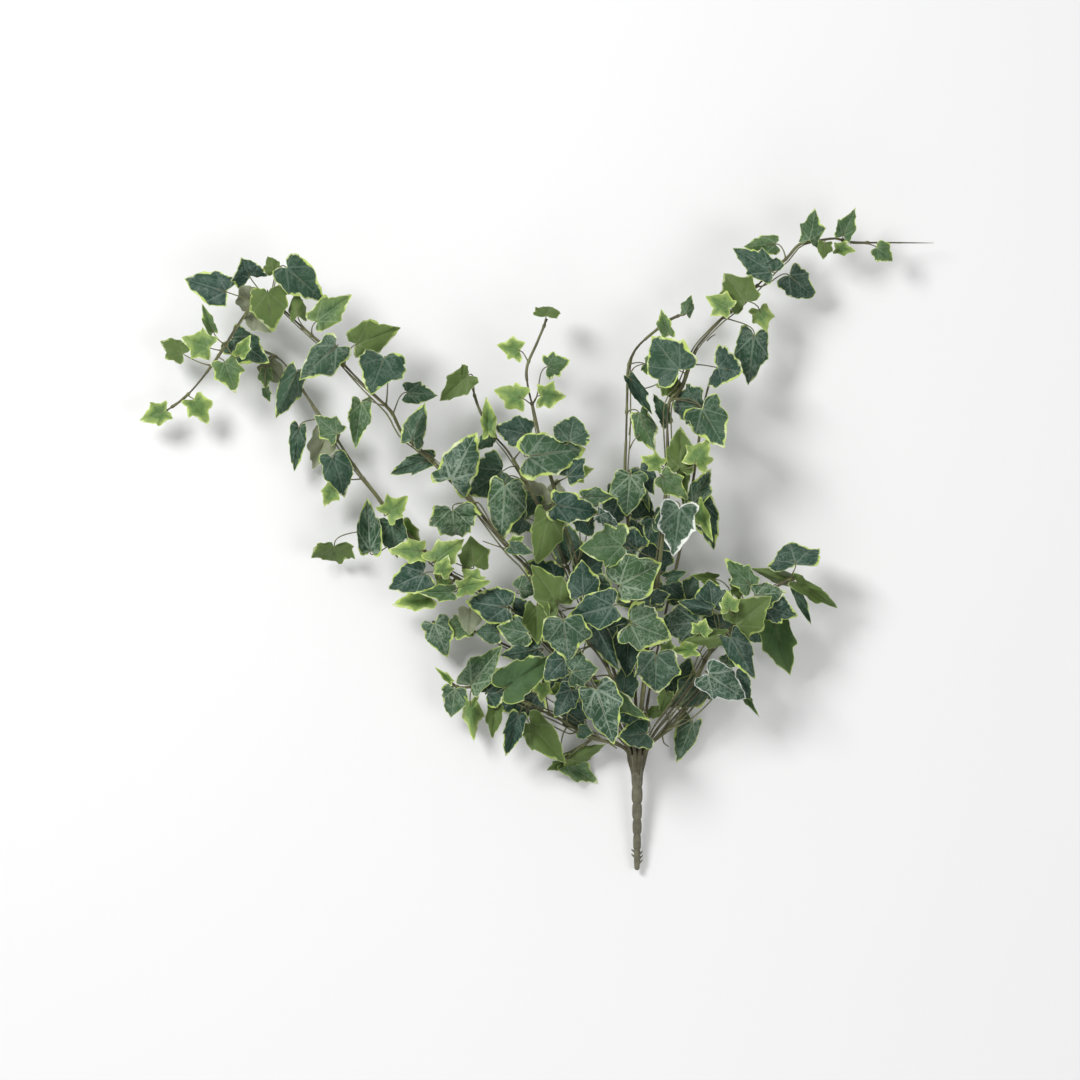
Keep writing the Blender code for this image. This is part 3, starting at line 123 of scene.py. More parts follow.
# Leaf: x, y, z of its base, heading of its midrib in degrees from +X, length and width as
# seen in plan, kind. Kinds: D dark, G grey veins, M mid green, L light, O olive back, B pale
# back, P greyish, S plain mid green, W white edge, Y lime.
# Spray: name, stem, plan points between which its jacket runs, leaves.
SPRAYS = [
    ("A1", "A", (-447, 363), (-468, 347), [
        (-471, 345, 31, 200, 30, 28, "L"), (-444, 356, 40, 300, 30, 29, "L")]),
    ("A2", "A", (-410, 413), (-432, 382), [
        (-427, 407, 50, 160, 32, 32, "L"), (-424, 424, 50, 112, 30, 11, "M"),
        (-404, 417, 46, 326, 44, 34, "D"), (-412, 393, 62, 290, 34, 33, "M"),
        (-454, 401, 40, 150, 28, 24, "O"), (-397, 399, 68, 62, 24, 16, "L")]),
    ("A3", "A", (-362, 452), (-392, 440), [
        (-409, 462, 80, 162, 46, 40, "D"), (-386, 477, 76, 105, 18, 36, "D"),
        (-368, 462, 90, 276, 41, 42, "O"), (-385, 452, 58, 122, 22, 26, "B"),
        (-385, 444, 56, 312, 30, 28, "B"), (-362, 483, 70, 115, 17, 18, "O"),
        (-350, 487, 86, 318, 50, 38, "D")]),
    ("A4", "A", (-290, 388), (-336, 429), [
        (-338, 438, 86, 95, 28, 18, "O"), (-320, 432, 92, 38, 46, 30, "M"),
        (-299, 408, 98, 222, 50, 36, "D"), (-280, 410, 84, 20, 48, 36, "O")]),
    ("A5", "A", (-218, 307), (-250, 350), [
        (-252, 396, 102, 250, 36, 50, "D"), (-275, 352, 66, 262, 46, 26, "M"),
        (-229, 362, 92, 355, 32, 23, "D")]),
    ("A6", "A", (-160, 246), (-206, 297), [
        (-224, 314, 92, 62, 40, 24, "D"), (-205, 296, 76, 199, 48, 20, "D"),
        (-186, 274, 98, 62, 56, 44, "G"), (-184, 247, 98, 274, 33, 50, "G"),
        (-126, 208, 92, 345, 23, 14, "D"), (-126, 211, 84, 30, 16, 14, "Y")]),
    ("B1", "B", (-362, 398), (-383, 407), [
        (-372, 386, 20, 268, 20, 15, "M"), (-372, 367, 24, 285, 15, 10, "M"),
        (-372, 393, 12, 312, 30, 24, "B")]),
    ("B2", "B", (-298, 312), (-338, 370), [
        (-340, 384, 50, 255, 52, 26, "D"), (-338, 328, 34, 263, 45, 18, "D"),
        (-300, 321, 52, 140, 30, 28, "M"), (-309, 324, 22, 246, 42, 28, "B")]),
    ("B3", "B", (-248, 244), (-284, 291), [
        (-304, 298, 54, 287, 44, 32, "D"),
        (-303, 268, 36, 242, 22, 23, "L"), (-250, 240, 66, 42, 29, 28, "L")]),
    ("B4", "B", (-198, 190), (-236, 229), [
        (-267, 204, 58, 93, 54, 25, "G"), (-303, 211, 34, 266, 21, 42, "O"),
        (-246, 233, 56, 271, 37, 32, "D"), (-234, 232, 36, 306, 32, 16, "Y"),
        (-214, 204, 74, 179, 34, 27, "L"), (-203, 193, 80, 38, 40, 31, "L"),
        (-163, 189, 58, 97, 31, 32, "O")]),
    ("B5", "B", (-128, 143), (-188, 182), [
        (-196, 181, 86, 68, 21, 20, "L"), (-212, 182, 66, 204, 40, 38, "D"),
        (-206, 157, 40, 190, 41, 23, "Y"), (-184, 163, 72, 181, 34, 19, "M"),
        (-190, 168, 56, 130, 20, 19, "L"), (-160, 172, 66, 136, 21, 24, "L"),
        (-178, 167, 76, 12, 33, 22, "L"), (-130, 148, 70, 172, 42, 36, "D")]),
    ("C1", "C", (-142, 319), (-164, 364), [
        (-168, 380, 34, 222, 40, 28, "O"), (-148, 320, 54, 94, 40, 18, "L"),
        (-147, 319, 30, 230, 19, 16, "D")]),
    ("C2", "C", (-96, 245), (-126, 299), [
        (-108, 320, 54, 166, 36, 34, "D"), (-134, 284, 60, 214, 43, 50, "D"),
        (-132, 270, 88, 266, 58, 40, "G"), (-104, 258, 20, 250, 25, 24, "D"),
        (-95, 250, 26, 128, 36, 32, "B"), (-88, 240, 22, 78, 38, 34, "B")]),
    ("C3", "C", (-40, 118), (-70, 190), [
        (-118, 165, 44, 35, 24, 24, "G"), (-112, 142, 40, 130, 22, 20, "D"),
        (-45, 120, 24, 20, 44, 40, "D"), (-60, 90, 22, 215, 46, 42, "D"),
        (-80, 172, 18, 150, 40, 38, "D"), (-66, 196, 30, 95, 36, 34, "D"),
        (-112, 236, 40, 200, 30, 30, "D")]),
    ("D1", "D", (-109, 372), (-92, 430), [
        (-91, 438, 50, 74, 13, 28, "O"), (-117, 404, 60, 166, 25, 25, "L")]),
    ("D2", "D", (-94, 305), (-106, 355), [
        (-114, 356, 70, 162, 31, 31, "L"), (-90, 388, 66, 16, 24, 29, "M"),
        (-97, 359, 74, 359, 27, 27, "L"), (-110, 298, 98, 8, 62, 46, "G"),
        (-68, 313, 86, 88, 27, 40, "D")]),
    ("D3", "D", (-66, 211), (-86, 280), [
        (-70, 278, 88, 55, 26, 24, "D"), (-66, 279, 76, 18, 24, 22, "Y"),
        (-82, 250, 108, 350, 47, 35, "D"), (-88, 240, 100, 256, 52, 37, "O"),
        (-54, 257, 92, 2, 32, 19, "G")]),
    ("D4", "D", (-42, 142), (-60, 194), [
        (-54, 160, 100, 93, 36, 34, "D"), (-56, 238, 86, 300, 24, 23, "D"),
        (-38, 240, 96, 340, 23, 16, "W"), (-42, 172, 88, 312, 27, 25, "G"),
        (-50, 184, 44, 80, 34, 32, "D"),
        (-78, 151, 88, 116, 48, 37, "O")]),
    ("E1", "E", (6, 414), (43, 440), [
        (49, 442, 39, 74, 20, 13, "M"), (31, 420, 50, 105, 28, 15, "M")]),
    ("E2", "E", (-11, 340), (-7, 394), [
        (8, 391, 56, 335, 16, 20, "M"), (-8, 377, 66, 302, 44, 14, "D"),
        (2, 342, 66, 292, 44, 24, "M")]),
    ("E3", "E", (-10, 238), (-11, 315), [
        (24, 289, 82, 156, 24, 21, "L"), (-7, 279, 80, 264, 42, 36, "P"),
        (2, 286, 62, 300, 30, 22, "D"), (3, 276, 72, 287, 36, 13, "M"),
        (0, 232, 44, 272, 34, 22, "D"), (4, 236, 58, 70, 26, 26, "D"),
        (-16, 262, 40, 250, 40, 34, "D")]),
    ("F1", "F", (205, 516), (234, 513), [
        (240, 508, 34, 320, 22, 23, "M"), (206, 519, 46, 66, 31, 21, "M"),
        (199, 507, 42, 2, 21, 15, "L")]),
    ("F2", "F", (140, 489), (184, 515), [
        (172, 514, 54, 87, 35, 26, "M"), (188, 512, 44, 262, 17, 17, "O"),
        (139, 511, 56, 184, 32, 22, "M"), (135, 482, 70, 148, 48, 31, "D")]),
    ("F3", "F", (84, 435), (120, 469), [
        (152, 480, 50, 320, 36, 32, "D"), (108, 452, 68, 125, 38, 39, "O"),
        (92, 445, 80, 150, 28, 27, "L"), (122, 446, 54, 290, 24, 24, "L"),
        (117, 420, 56, 263, 52, 34, "D")]),
    ("F4", "F", (31, 345), (58, 404), [
        (42, 384, 84, 130, 46, 50, "D"), (30, 374, 66, 300, 23, 24, "O"),
        (30, 332, 66, 115, 34, 15, "D"), (62, 348, 92, 170, 32, 42, "D"),
        (64, 346, 84, 300, 46, 43, "D"), (81, 387, 66, 350, 23, 46, "D")]),
    ("F5", "F", (27, 248), (30, 320), [
        (42, 286, 86, 88, 44, 32, "O"), (57, 291, 92, 62, 30, 31, "L"),
        (24, 278, 98, 320, 36, 27, "M"), (42, 248, 96, 263, 50, 41, "W")]),
    ("F6", "F", (18, 165), (25, 228), [
        (26, 227, 86, 82, 24, 22, "D"), (16, 238, 60, 300, 46, 36, "D"),
        (14, 158, 78, 8, 20, 18, "D"), (0, 205, 50, 140, 40, 36, "D")]),
    ("J1", "J", (53, 255), (63, 322), [
        (45, 296, 68, 272, 50, 15, "O"), (56, 250, 60, 73, 42, 23, "G"),
        (64, 254, 40, 286, 52, 27, "D")]),
    ("J2", "J", (32, 155), (48, 232), [
        (60, 250, 80, 292, 40, 18, "L"), (30, 177, 66, 18, 21, 13, "D"),
        (29, 171, 58, 322, 26, 24, "D"), (14, 190, 24, 58, 38, 36, "D"),
        (44, 150, 36, 62, 36, 30, "D"),
        (22, 160, 20, 190, 44, 40, "D")]),
    ("G1", "G", (128, 161), (155, 177), [
        (158, 191, 70, 112, 24, 52, "D"), (158, 173, 62, 338, 52, 17, "O"),
        (158, 166, 54, 295, 42, 11, "D"), (154, 174, 58, 163, 44, 15, "O")]),
    ("G2", "G", (90, 122), (121, 154), [
        (113, 170, 80, 135, 38, 27, "M"), (118, 160, 84, 15, 31, 27, "G"),
        (125, 150, 72, 343, 38, 27, "D"), (98, 130, 80, 48, 46, 42, "O"),
        (104, 130, 60, 320, 28, 23, "D"), (92, 145, 90, 108, 20, 23, "L"),
        (104, 160, 64, 128, 22, 13, "O")]),
    ("G3", "G", (55, 73), (84, 115), [
        (75, 147, 74, 96, 30, 36, "D"), (73, 146, 84, 166, 34, 16, "D"),
        (85, 118, 94, 184, 40, 21, "O"), (62, 122, 88, 60, 16, 23, "L"),
        (60, 133, 76, 178, 44, 36, "G"), (58, 106, 76, 174, 27, 16, "Y"),
        (92, 119, 88, 300, 50, 28, "D")]),
    ("K1", "K", (70, 72), (106, 98), [
        (70, 82, 76, 325, 48, 37, "W"), (86, 92, 56, 20, 20, 16, "G"),
        (66, 70, 26, 215, 40, 36, "D"),
        (98, 82, 54, 300, 32, 22, "D"), (105, 62, 46, 297, 30, 9, "M")]),
    ("P1", "P", (104, 106), (139, 129), [
        (136, 137, 36, 287, 62, 34, "S"), (78, 176, 52, 172, 24, 13, "O"),
        (100, 120, 12, 150, 40, 38, "D")]),
    ("P2", "P", (30, 26), (62, 61), [
        (56, 32, 24, 250, 46, 24, "G"), (30, 62, 34, 255, 22, 16, "O"),
        (40, 60, 14, 60, 40, 36, "D"),
        (24, 44, 32, 195, 20, 15, "O")]),
    ("H1", "H", (-164, 68), (-188, 74), [
        (-182, 66, 28, 262, 30, 27, "G"), (-186, 73, 26, 138, 22, 8, "Y"),
        (-166, 70, 48, 52, 50, 31, "P"), (-167, 53, 38, 275, 40, 22, "L")]),
    ("H2", "H", (-106, 48), (-150, 66), [
        (-141, 46, 42, 262, 29, 18, "O"), (-150, 62, 52, 45, 42, 33, "D"),
        (-118, 40, 50, 252, 46, 21, "D"), (-108, 32, 38, 312, 54, 35, "O"),
        (-132, 68, 82, 24, 58, 38, "S")]),
    ("H3", "H", (-42, 17), (-92, 42), [
        (-95, 72, 58, 268, 20, 19, "Y"), (-70, -6, 22, 32, 42, 20, "O"),
        (-72, -9, 12, 338, 42, 23, "M"), (-74, -9, 14, 205, 18, 10, "O"),
        (-58, 24, 38, 350, 15, 15, "D"), (-66, 66, 64, 240, 34, 25, "D"),
        (-52, 34, 14, 150, 34, 30, "D")]),
    ("I1", "I", (-158, 121), (-202, 133), [
        (-203, 132, 32, 290, 38, 30, "G"), (-168, 128, 34, 186, 32, 26, "M"),
        (-167, 145, 48, 268, 26, 24, "B"), (-138, 122, 48, 178, 24, 24, "D")]),
    ("I2", "I", (-70, 68), (-122, 104), [
        (-108, 122, 70, 168, 34, 31, "G"), (-99, 106, 56, 180, 38, 25, "D"),
        (-100, 60, 10, 200, 44, 40, "D")]),
    ("M1", "M", (-44, 107), (-72, 139), [
        (-74, 136, 112, 278, 42, 48, "G"), (-100, 150, 82, 270, 40, 27, "O"),
        (-86, 146, 74, 214, 25, 22, "D"), (-66, 84, 110, 8, 28, 34, "G"),
        (-72, 97, 98, 236, 31, 29, "D"), (-45, 136, 94, 298, 60, 27, "D")]),
    ("M2", "M", (-12, 45), (-30, 86), [
        (-41, 67, 96, 288, 57, 44, "G"), (-38, 66, 84, 338, 60, 21, "M"),
        (-4, 44, 64, 205, 22, 20, "D"), (-14, 62, 44, 90, 32, 28, "D"),
        (-72, 66, 54, 190, 20, 17, "L")]),
    ("N1", "N", (5, 140), (-8, 176), [
        (-19, 170, 116, 28, 50, 46, "G"), (-15, 209, 126, 182, 43, 48, "M"),
        (-24, 150, 116, 195, 48, 38, "D"), (-8, 133, 104, 338, 46, 48, "G")]),
    ("N2", "N", (5, 46), (9, 110), [
        (18, 102, 100, 262, 43, 46, "G"), (-8, 126, 66, 266, 50, 32, "D"),
        (28, 112, 84, 290, 15, 17, "L"), (10, 22, 62, 188, 30, 34, "D")]),
]


# Half of a leaf's edge from the notch at its base to its tip, as along and across in parts of
# its length: a young leaf with deep bays between its lobes, and an old one with shallow bays.
YOUNG_EDGE = [
    (0.000, 0.020), (-0.045, 0.080), (-0.095, 0.170), (-0.130, 0.265), (-0.120, 0.350),
    (-0.105, 0.415), (-0.030, 0.385), (0.050, 0.345), (0.120, 0.335), (0.200, 0.370),
    (0.285, 0.425), (0.365, 0.475), (0.455, 0.510), (0.462, 0.430), (0.485, 0.340),
    (0.530, 0.262), (0.610, 0.215), (0.710, 0.172), (0.810, 0.122), (0.910, 0.062)]
OLD_EDGE = [
    (0.000, 0.020), (-0.060, 0.080), (-0.110, 0.170), (-0.140, 0.270), (-0.130, 0.360),
    (-0.080, 0.430), (0.000, 0.470), (0.080, 0.475), (0.150, 0.468), (0.220, 0.478),
    (0.300, 0.495), (0.370, 0.500), (0.440, 0.475), (0.500, 0.422), (0.560, 0.375),
    (0.630, 0.332), (0.710, 0.278), (0.790, 0.212), (0.870, 0.132), (0.940, 0.062)]
LEAF_RINGS = (0.0, 0.25, 0.48, 0.68, 0.83, 0.93, 1.0)
LEAF_HUB = 0.22  # where the veins meet, along the midrib
LEAF_CLOTH = 0.34  # thickness of the printed cloth

# Waves round a leaf: how many, height, power by which they grow towards the edge, phase.
LEAF_WAVES = ((3, 1.0, 2, 1.0), (7, 0.50, 3, 2.1), (13, 0.45, 6, 0.7))
PAD_REACH = 0.10  # distance from a vein to the top of the pad beside it
PAD_HEIGHT = 0.024  # in parts of the leaf's length
UNDER_RIB = (0.12, 0.26, 0.42, 0.58)  # places of the stalk's end along the midrib
COLLAR_REACH = 2.6
# Collar where a stalk leaves a stem: place along it, radius in parts of the jacket's.
COLLAR = ((0.0, 0.8), (0.25, 1.18), (0.5, 1.32), (0.75, 1.18), (1.0, 0.8))

# A flat leaf's width in parts of its length, and its length in parts of its width. The
# leaves that look narrower or shorter than the next two values are folded or pitched more.
FLAT_WIDTH, FLAT_LENGTH = 0.80, 0.92
NARROW, SHORT = 0.72, 0.78
COS_MOST_FOLD, COS_MOST_PITCH = 0.62, 0.66

BASAL_POINTS = 8  # points of an edge in its basal lobe
SIDE_POINTS = 7  # points in the side lobe, after those

# Main veins on each side: angle from the midrib in degrees, width at the hub.
MAIN_VEINS = ((0.0, 0.030), (43.0, 0.024), (104.0, 0.020))

# Per kind of leaf: how light its green is, how pale its print is, how much its edge shows,
# whether its back is turned up, and how deep its bays are.
KINDS = {
    "D": (0.06, 0.40, 0.90, 0, 0.15), "G": (0.20, 0.72, 1.00, 0, 0.15),
    "M": (0.45, 0.50, 0.95, 0, 0.45), "L": (0.85, 0.35, 1.15, 0, 0.75),
    "Y": (1.00, 0.15, 1.50, 0, 0.60), "W": (0.10, 0.70, 1.70, 0, 0.25),
    "O": (0.25, 0.05, 0.80, 1, 0.30), "B": (0.40, 0.95, 0.40, 1, 0.10),
    "P": (0.32, 0.95, 0.60, 0, 0.20), "S": (0.45, 0.08, 0.55, 0, 0.15)}

# Thin wires that run beside a stem: stem, offset to its side, height, radius, start, end.
SIDE_WIRES = [
    ("A", 3.4, -0.6, 0.80, 0.02, 0.72), ("A", -3.1, 0.4, 0.75, 0.02, 0.50),
    ("A", 1.9, 2.0, 0.70, 0.30, 0.92), ("B", 3.2, 0.3, 0.75, 0.02, 0.85),
    ("B", -3.0, 0.8, 0.70, 0.05, 0.60), ("F", 3.0, 0.3, 0.80, 0.02, 0.70),
    ("F", -2.9, 0.5, 0.70, 0.20, 0.88), ("G", 3.6, 0.2, 0.75, 0.02, 0.95),
    ("G", -3.4, 0.9, 0.75, 0.02, 0.90), ("G", 6.2, -2.0, 0.70, 0.04, 0.80),
    ("H", 3.0, 0.6, 0.75, 0.03, 0.85), ("H", -3.2, 0.2, 0.70, 0.05, 0.70),
    ("D", 2.8, 0.3, 0.70, 0.02, 0.80), ("E", -2.7, 0.4, 0.70, 0.02, 0.90),
    ("P", -3.0, 0.8, 0.70, 0.04, 0.90), ("K", 3.0, 0.5, 0.70, 0.03, 0.95),
    ("C", 2.6, 0.3, 0.70, 0.02, 0.90), ("I", 2.7, 0.4, 0.70, 0.03, 0.80)]

# Free tendrils and bare stubs: radius, points.
TENDRILS = [
    (0.75, [(70, 414, 62), (74, 418, 66), (78, 420, 70)]),
    (0.75, [(-127, 205, 80), (-140, 209, 84), (-154, 214, 84)]),
    (0.80, [(-60, 26, 30), (-62, 22, 32), (-68, 21, 34), (-75, 24, 35), (-85, 29, 35),
            (-100, 37, 34)]),
    (0.80, [(-70, 28, 31), (-74, 20, 34), (-76, 8, 34), (-74, 0, 29), (-70, -6, 23)]),
    (0.90, [(22, 20, 30), (25, 22, 31), (27, 12, 33), (32, 8, 32)]),
    (0.80, [(75, 65, 40), (69, 56, 44), (62, 50, 45), (50, 47, 42)]),
    (0.75, [(-8, 320, 56), (-6, 332, 60), (1, 343, 62)]),
    (0.75, [(-8, 305, 56), (-2, 316, 61), (9, 323, 62)]),
    (0.75, [(-8, 380, 54), (-2, 388, 58), (7, 391, 58)]),
    (0.75, [(6, 366, 50), (16, 369, 56), (28, 375, 60)]),
    (0.80, [(28, 24, 36), (48, 32, 44), (66, 46, 46), (84, 66, 46), (98, 84, 44)]),
    (0.75, [(20, 16, 30), (44, 34, 36), (60, 52, 38), (76, 78, 40), (96, 96, 40)]),
    (0.75, [(-20, 6, 24), (-44, 22, 30), (-72, 44, 40), (-96, 60, 52), (-118, 66, 70)])]

# Half outline of the stake: distance below its mouth, radius.
STAKE_PROFILE = [
    (118.4, 0.0), (118.1, 1.4), (117.0, 2.3), (115.0, 2.8), (110.0, 3.05), (99.6, 3.2),
    (98.0, 3.1), (97.3, 2.9), (96.6, 3.1), (95.4, 3.65), (92.0, 3.85), (88.0, 3.85),
    (84.4, 3.7), (82.8, 3.45), (81.9, 3.25), (81.0, 3.5), (79.6, 4.1), (76.5, 4.45),
    (73.5, 4.5), (70.0, 4.35), (67.6, 4.0), (66.4, 3.5), (65.2, 4.1), (63.4, 4.6),
    (60.0, 4.85), (56.5, 4.88), (53.0, 4.7), (51.0, 4.3), (49.9, 3.85), (48.8, 4.4),
    (47.0, 5.05), (43.5, 5.35), (40.0, 5.38), (36.6, 5.2), (34.6, 4.9), (33.3, 4.6),
    (32.0, 4.95), (30.0, 5.3), (26.0, 5.5), (20.0, 5.9), (14.0, 6.5), (8.0, 7.3),
    (3.0, 8.1), (0.8, 8.5), (0.0, 8.3), (-0.5, 7.6), (-0.8, 4.0)]
STAKE_STEP = 1.1
STAKE_RIBS = 14
RIB_START, RIB_END = 3.0, 97.0

# Barbs near the tip: distance below the mouth, side.
BARBS = ((100.5, 1), (105.0, 1), (109.5, 1), (98.5, -1), (103.5, -1))
# Run of a barb: out from the stake's axis, up along it, radius.
BARB_RUN = ((1.6, -1.4, 1.5), (3.2, -0.4, 1.2), (4.7, 0.8, 0.75), (5.7, 2.0, 0.25))

# Stems in the neck: distance below the mouth, distance from the axis in parts of that in the
# socket, radius.
NECK_RUN = ((31.0, 0.27, 1.5), (18.0, 0.48, 2.1))
NECK_PINCH = 0.76
STEM_FLARE = 1.25  # how much thicker a stem is at its foot
STEM_FLARE_LENGTH = 16.0
STEM_STEP = 5.0

JACKET_PIECES = 24
JACKET_END = 2.5  # least distance from a jacket's end to a stalk
WIRE_STEP = 8.0
TENDRIL_STEP = 3.0

# Lights of the studio, in metres: name, place, diameter, power.
LIGHTS = (
    ("key_light", (-1.6, 1.4, 2.3), 1.1, 66.0),
    ("fill_light", (1.7, -0.6, 2.4), 1.6, 16.0),
    ("low_light", (-0.4, -2.1, 1.3), 1.2, 9.0))
VIEW_CENTRE = Vector((-97.0, 215.0, 0.0))
VIEW_HEIGHT = 0.05  # height in metres at which the view has its width
FLOOR_SIZE = 6.0
FLOOR_DROP = 0.0005


def spread(k, seed):
    """A repeatable number from -1 to 1 for item k."""
    return 2.0 * math.modf(abs(math.sin(k * 12.9898 + seed * 78.233)) * 43758.5453)[0] - 1.0


STAKE_TILT = math.asin((CROWN_HEIGHT - STAKE_TIP_HEIGHT) / STAKE_LENGTH)
CROWN = Vector((0.5, 0.0, CROWN_HEIGHT))
STAKE_UP = Vector((0.0, math.cos(STAKE_TILT), math.sin(STAKE_TILT)))
STAKE_OUT = Vector((0.0, -math.sin(STAKE_TILT), math.cos(STAKE_TILT)))


def crown_shift():
    """Offset in millimetres from the crown's frame to the frame of the object."""
    low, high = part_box("stake")
    tip = CROWN - STAKE_UP * STAKE_LENGTH
    return Vector(((low.x + high.x) * 500.0 - CROWN.x, low.y * 1000.0 - tip.y, 0.0))


SHIFT = crown_shift()


def place(p):
    """A point in millimetres from the crown, as metres in the object's frame."""
    return (p + SHIFT) * 0.001


def smooth_path(points, step):
    """Smooth path through the points, in pieces of about one step."""
    out = [points[0]]
    for i in range(len(points) - 1):
        p1, p2 = points[i], points[i + 1]
        p0 = points[i - 1] if i else p1 * 2 - p2
        p3 = points[i + 2] if i + 2 < len(points) else p2 * 2 - p1
        count = max(1, round((p2 - p1).length / step))
        for k in range(1, count + 1):
            t = k / count
            a = (p2 - p0) * 0.5
            b = p0 - p1 * 2.5 + p2 * 2 - p3 * 0.5
            c = (p3 - p0) * 0.5 + (p1 - p2) * 1.5
            out.append(p1 + a * t + b * t * t + c * t * t * t)
    return out


class Path:
    """A fine polyline with distances along it."""

    def __init__(self, points):
        self.points = points
        self.lengths = [0.0]
        for a, b in zip(points, points[1:]):
            self.lengths.append(self.lengths[-1] + (b - a).length)
        self.total = self.lengths[-1]

    def at(self, s):
        """Point and direction at a distance along the path."""
        s = min(max(s, 0.0), self.total)
        for i in range(len(self.points) - 1):
            if s <= self.lengths[i + 1] or i == len(self.points) - 2:
                t = (s - self.lengths[i]) / (self.lengths[i + 1] - self.lengths[i])
                a, b = self.points[i], self.points[i + 1]
                return a.lerp(b, t), (b - a).normalized()

    def nearest(self, x, y):
        """Distance along the path to where it passes nearest, seen from above."""
        best = None
        for p, s in zip(self.points, self.lengths):
            d = math.hypot(p.x - x, p.y - y)
            if best is None or d < best[0]:
                best = (d, s)
        return best[1]

    def radius(self, s):
        return CORE_RADIUS + (CORE_TIP_RADIUS - CORE_RADIUS) * min(1.0, s / self.total)


def stem_paths():
    """Path of every stem, from its socket in the neck to its tip."""
    paths = {}
    for name, ((column, row), points) in STEMS.items():
        mouth = CROWN + Vector((column * SOCKET_PITCH, 0, 0))
        mouth = mouth + STAKE_OUT * row * SOCKET_PITCH * 0.9
        start = [mouth - STAKE_UP * (SOCKET_DEPTH - 1.0), mouth + STAKE_UP * 4.0]
        path = [start[0]] + smooth_path([start[1]] + [Vector(p) for p in points], STEM_STEP)
        paths[name] = Path(path)
    return paths


class Leaf:
    """Pose of one leaf."""

    def __init__(self, key, entry, tweak):
        x, y, z, heading, length, width, _ = entry
        dz, dpitch, dheading, shrink = tweak
        length *= shrink
        width *= shrink
        # A leaf that looks narrow is folded more, and one that looks short is pitched more.
        fold = math.radians(14)
        if width < NARROW * length:
            fold = math.acos(max(COS_MOST_FOLD, width / (FLAT_WIDTH * length)))
        pitch = math.radians(9)
        if length < SHORT * width:
            pitch = math.acos(max(COS_MOST_PITCH, length / (FLAT_LENGTH * width)))
        down = 1.0 if spread(key, 1) > -0.55 else -1.0
        self.key = key
        self.pitch = pitch * down + math.radians(dpitch)
        self.fold = fold * (1.0 if spread(key, 2) > -0.4 else -1.0)
        self.roll = math.radians(7) * spread(key, 3)
        self.length = length / math.cos(self.pitch)
        self.half = 0.5 * width
        self.droop = 0.07 + 0.05 * spread(key, 4)
        self.base = Vector((x, y, z + dz))
        turn = Matrix.Rotation(math.radians(heading + dheading), 3, "Z")
        tip = Matrix.Rotation(self.pitch, 3, "Y")
        lean = Matrix.Rotation(self.roll, 3, "X")
        self.axes = turn @ tip @ lean
        self.normal = self.axes @ Vector((0, 0, 1))

    def surface(self, u, v, lift=0.0):
        """Point of the middle surface: u along the midrib, v across in half widths."""
        across = v * self.half * 2
        rise = abs(across) * math.tan(self.fold) * (0.55 + 0.45 * abs(v) * 2)
        rise -= self.droop * self.length * max(u, 0.0) ** 2
        return self.base + self.axes @ Vector((u * self.length, across, rise + lift))

    def frame_tip(self):
        """Where the tip of this leaf's solid in the frame would be."""
        offset = self.axes @ Vector((0, 0, LEAF_THICKNESS / 2))
        middle = self.surface(1.0, 0.0)
        return middle + offset + Vector((0, 0, max(0.0, (offset - middle).z)))


def tweaks():
    """The changes of height, pitch, heading and size that a leaf may have in the frame."""
    for shrink in (1.0, 0.88, 0.76, 0.62, 0.5, 0.4):
        for dz in (0, 3, -3, 6, -6, 9, -9, 12, -12, 16, -16, 20, -20, 25, -25, 30, -30):
            for dpitch in (0, 14, -14):
                for dheading in (0, 9, -9):
                    yield dz, dpitch, dheading, shrink
    for shrink in (0.7, 0.45, 0.3):
        for dz in (0, 8, -8, 16, -16, 24, -24, 32, -32, 40, -40):
            for dheading in (25, -25, 50, -50):
                yield dz, 0, dheading, shrink


def leaf_in_frame(key, entry, tree):
    """The leaf in the pose that its solid has in the frame."""
    best = None
    for tweak in tweaks():
        leaf = Leaf(key, entry, tweak)
        miss = tree.find(place(leaf.frame_tip()))[2]
        if best is None or miss < best[0]:
            best = (miss, leaf)
        if miss < 1e-4:
            break
    return best[1]


def corner_tree(node):
    """Corners of a node of the frame, to look up by place."""
    obj = frame["nodes"][node]
    tree = KDTree(len(obj.data.vertices))
    for i, v in enumerate(obj.data.vertices):
        tree.insert(obj.matrix_world @ v.co, i)
    tree.balance()
    return tree


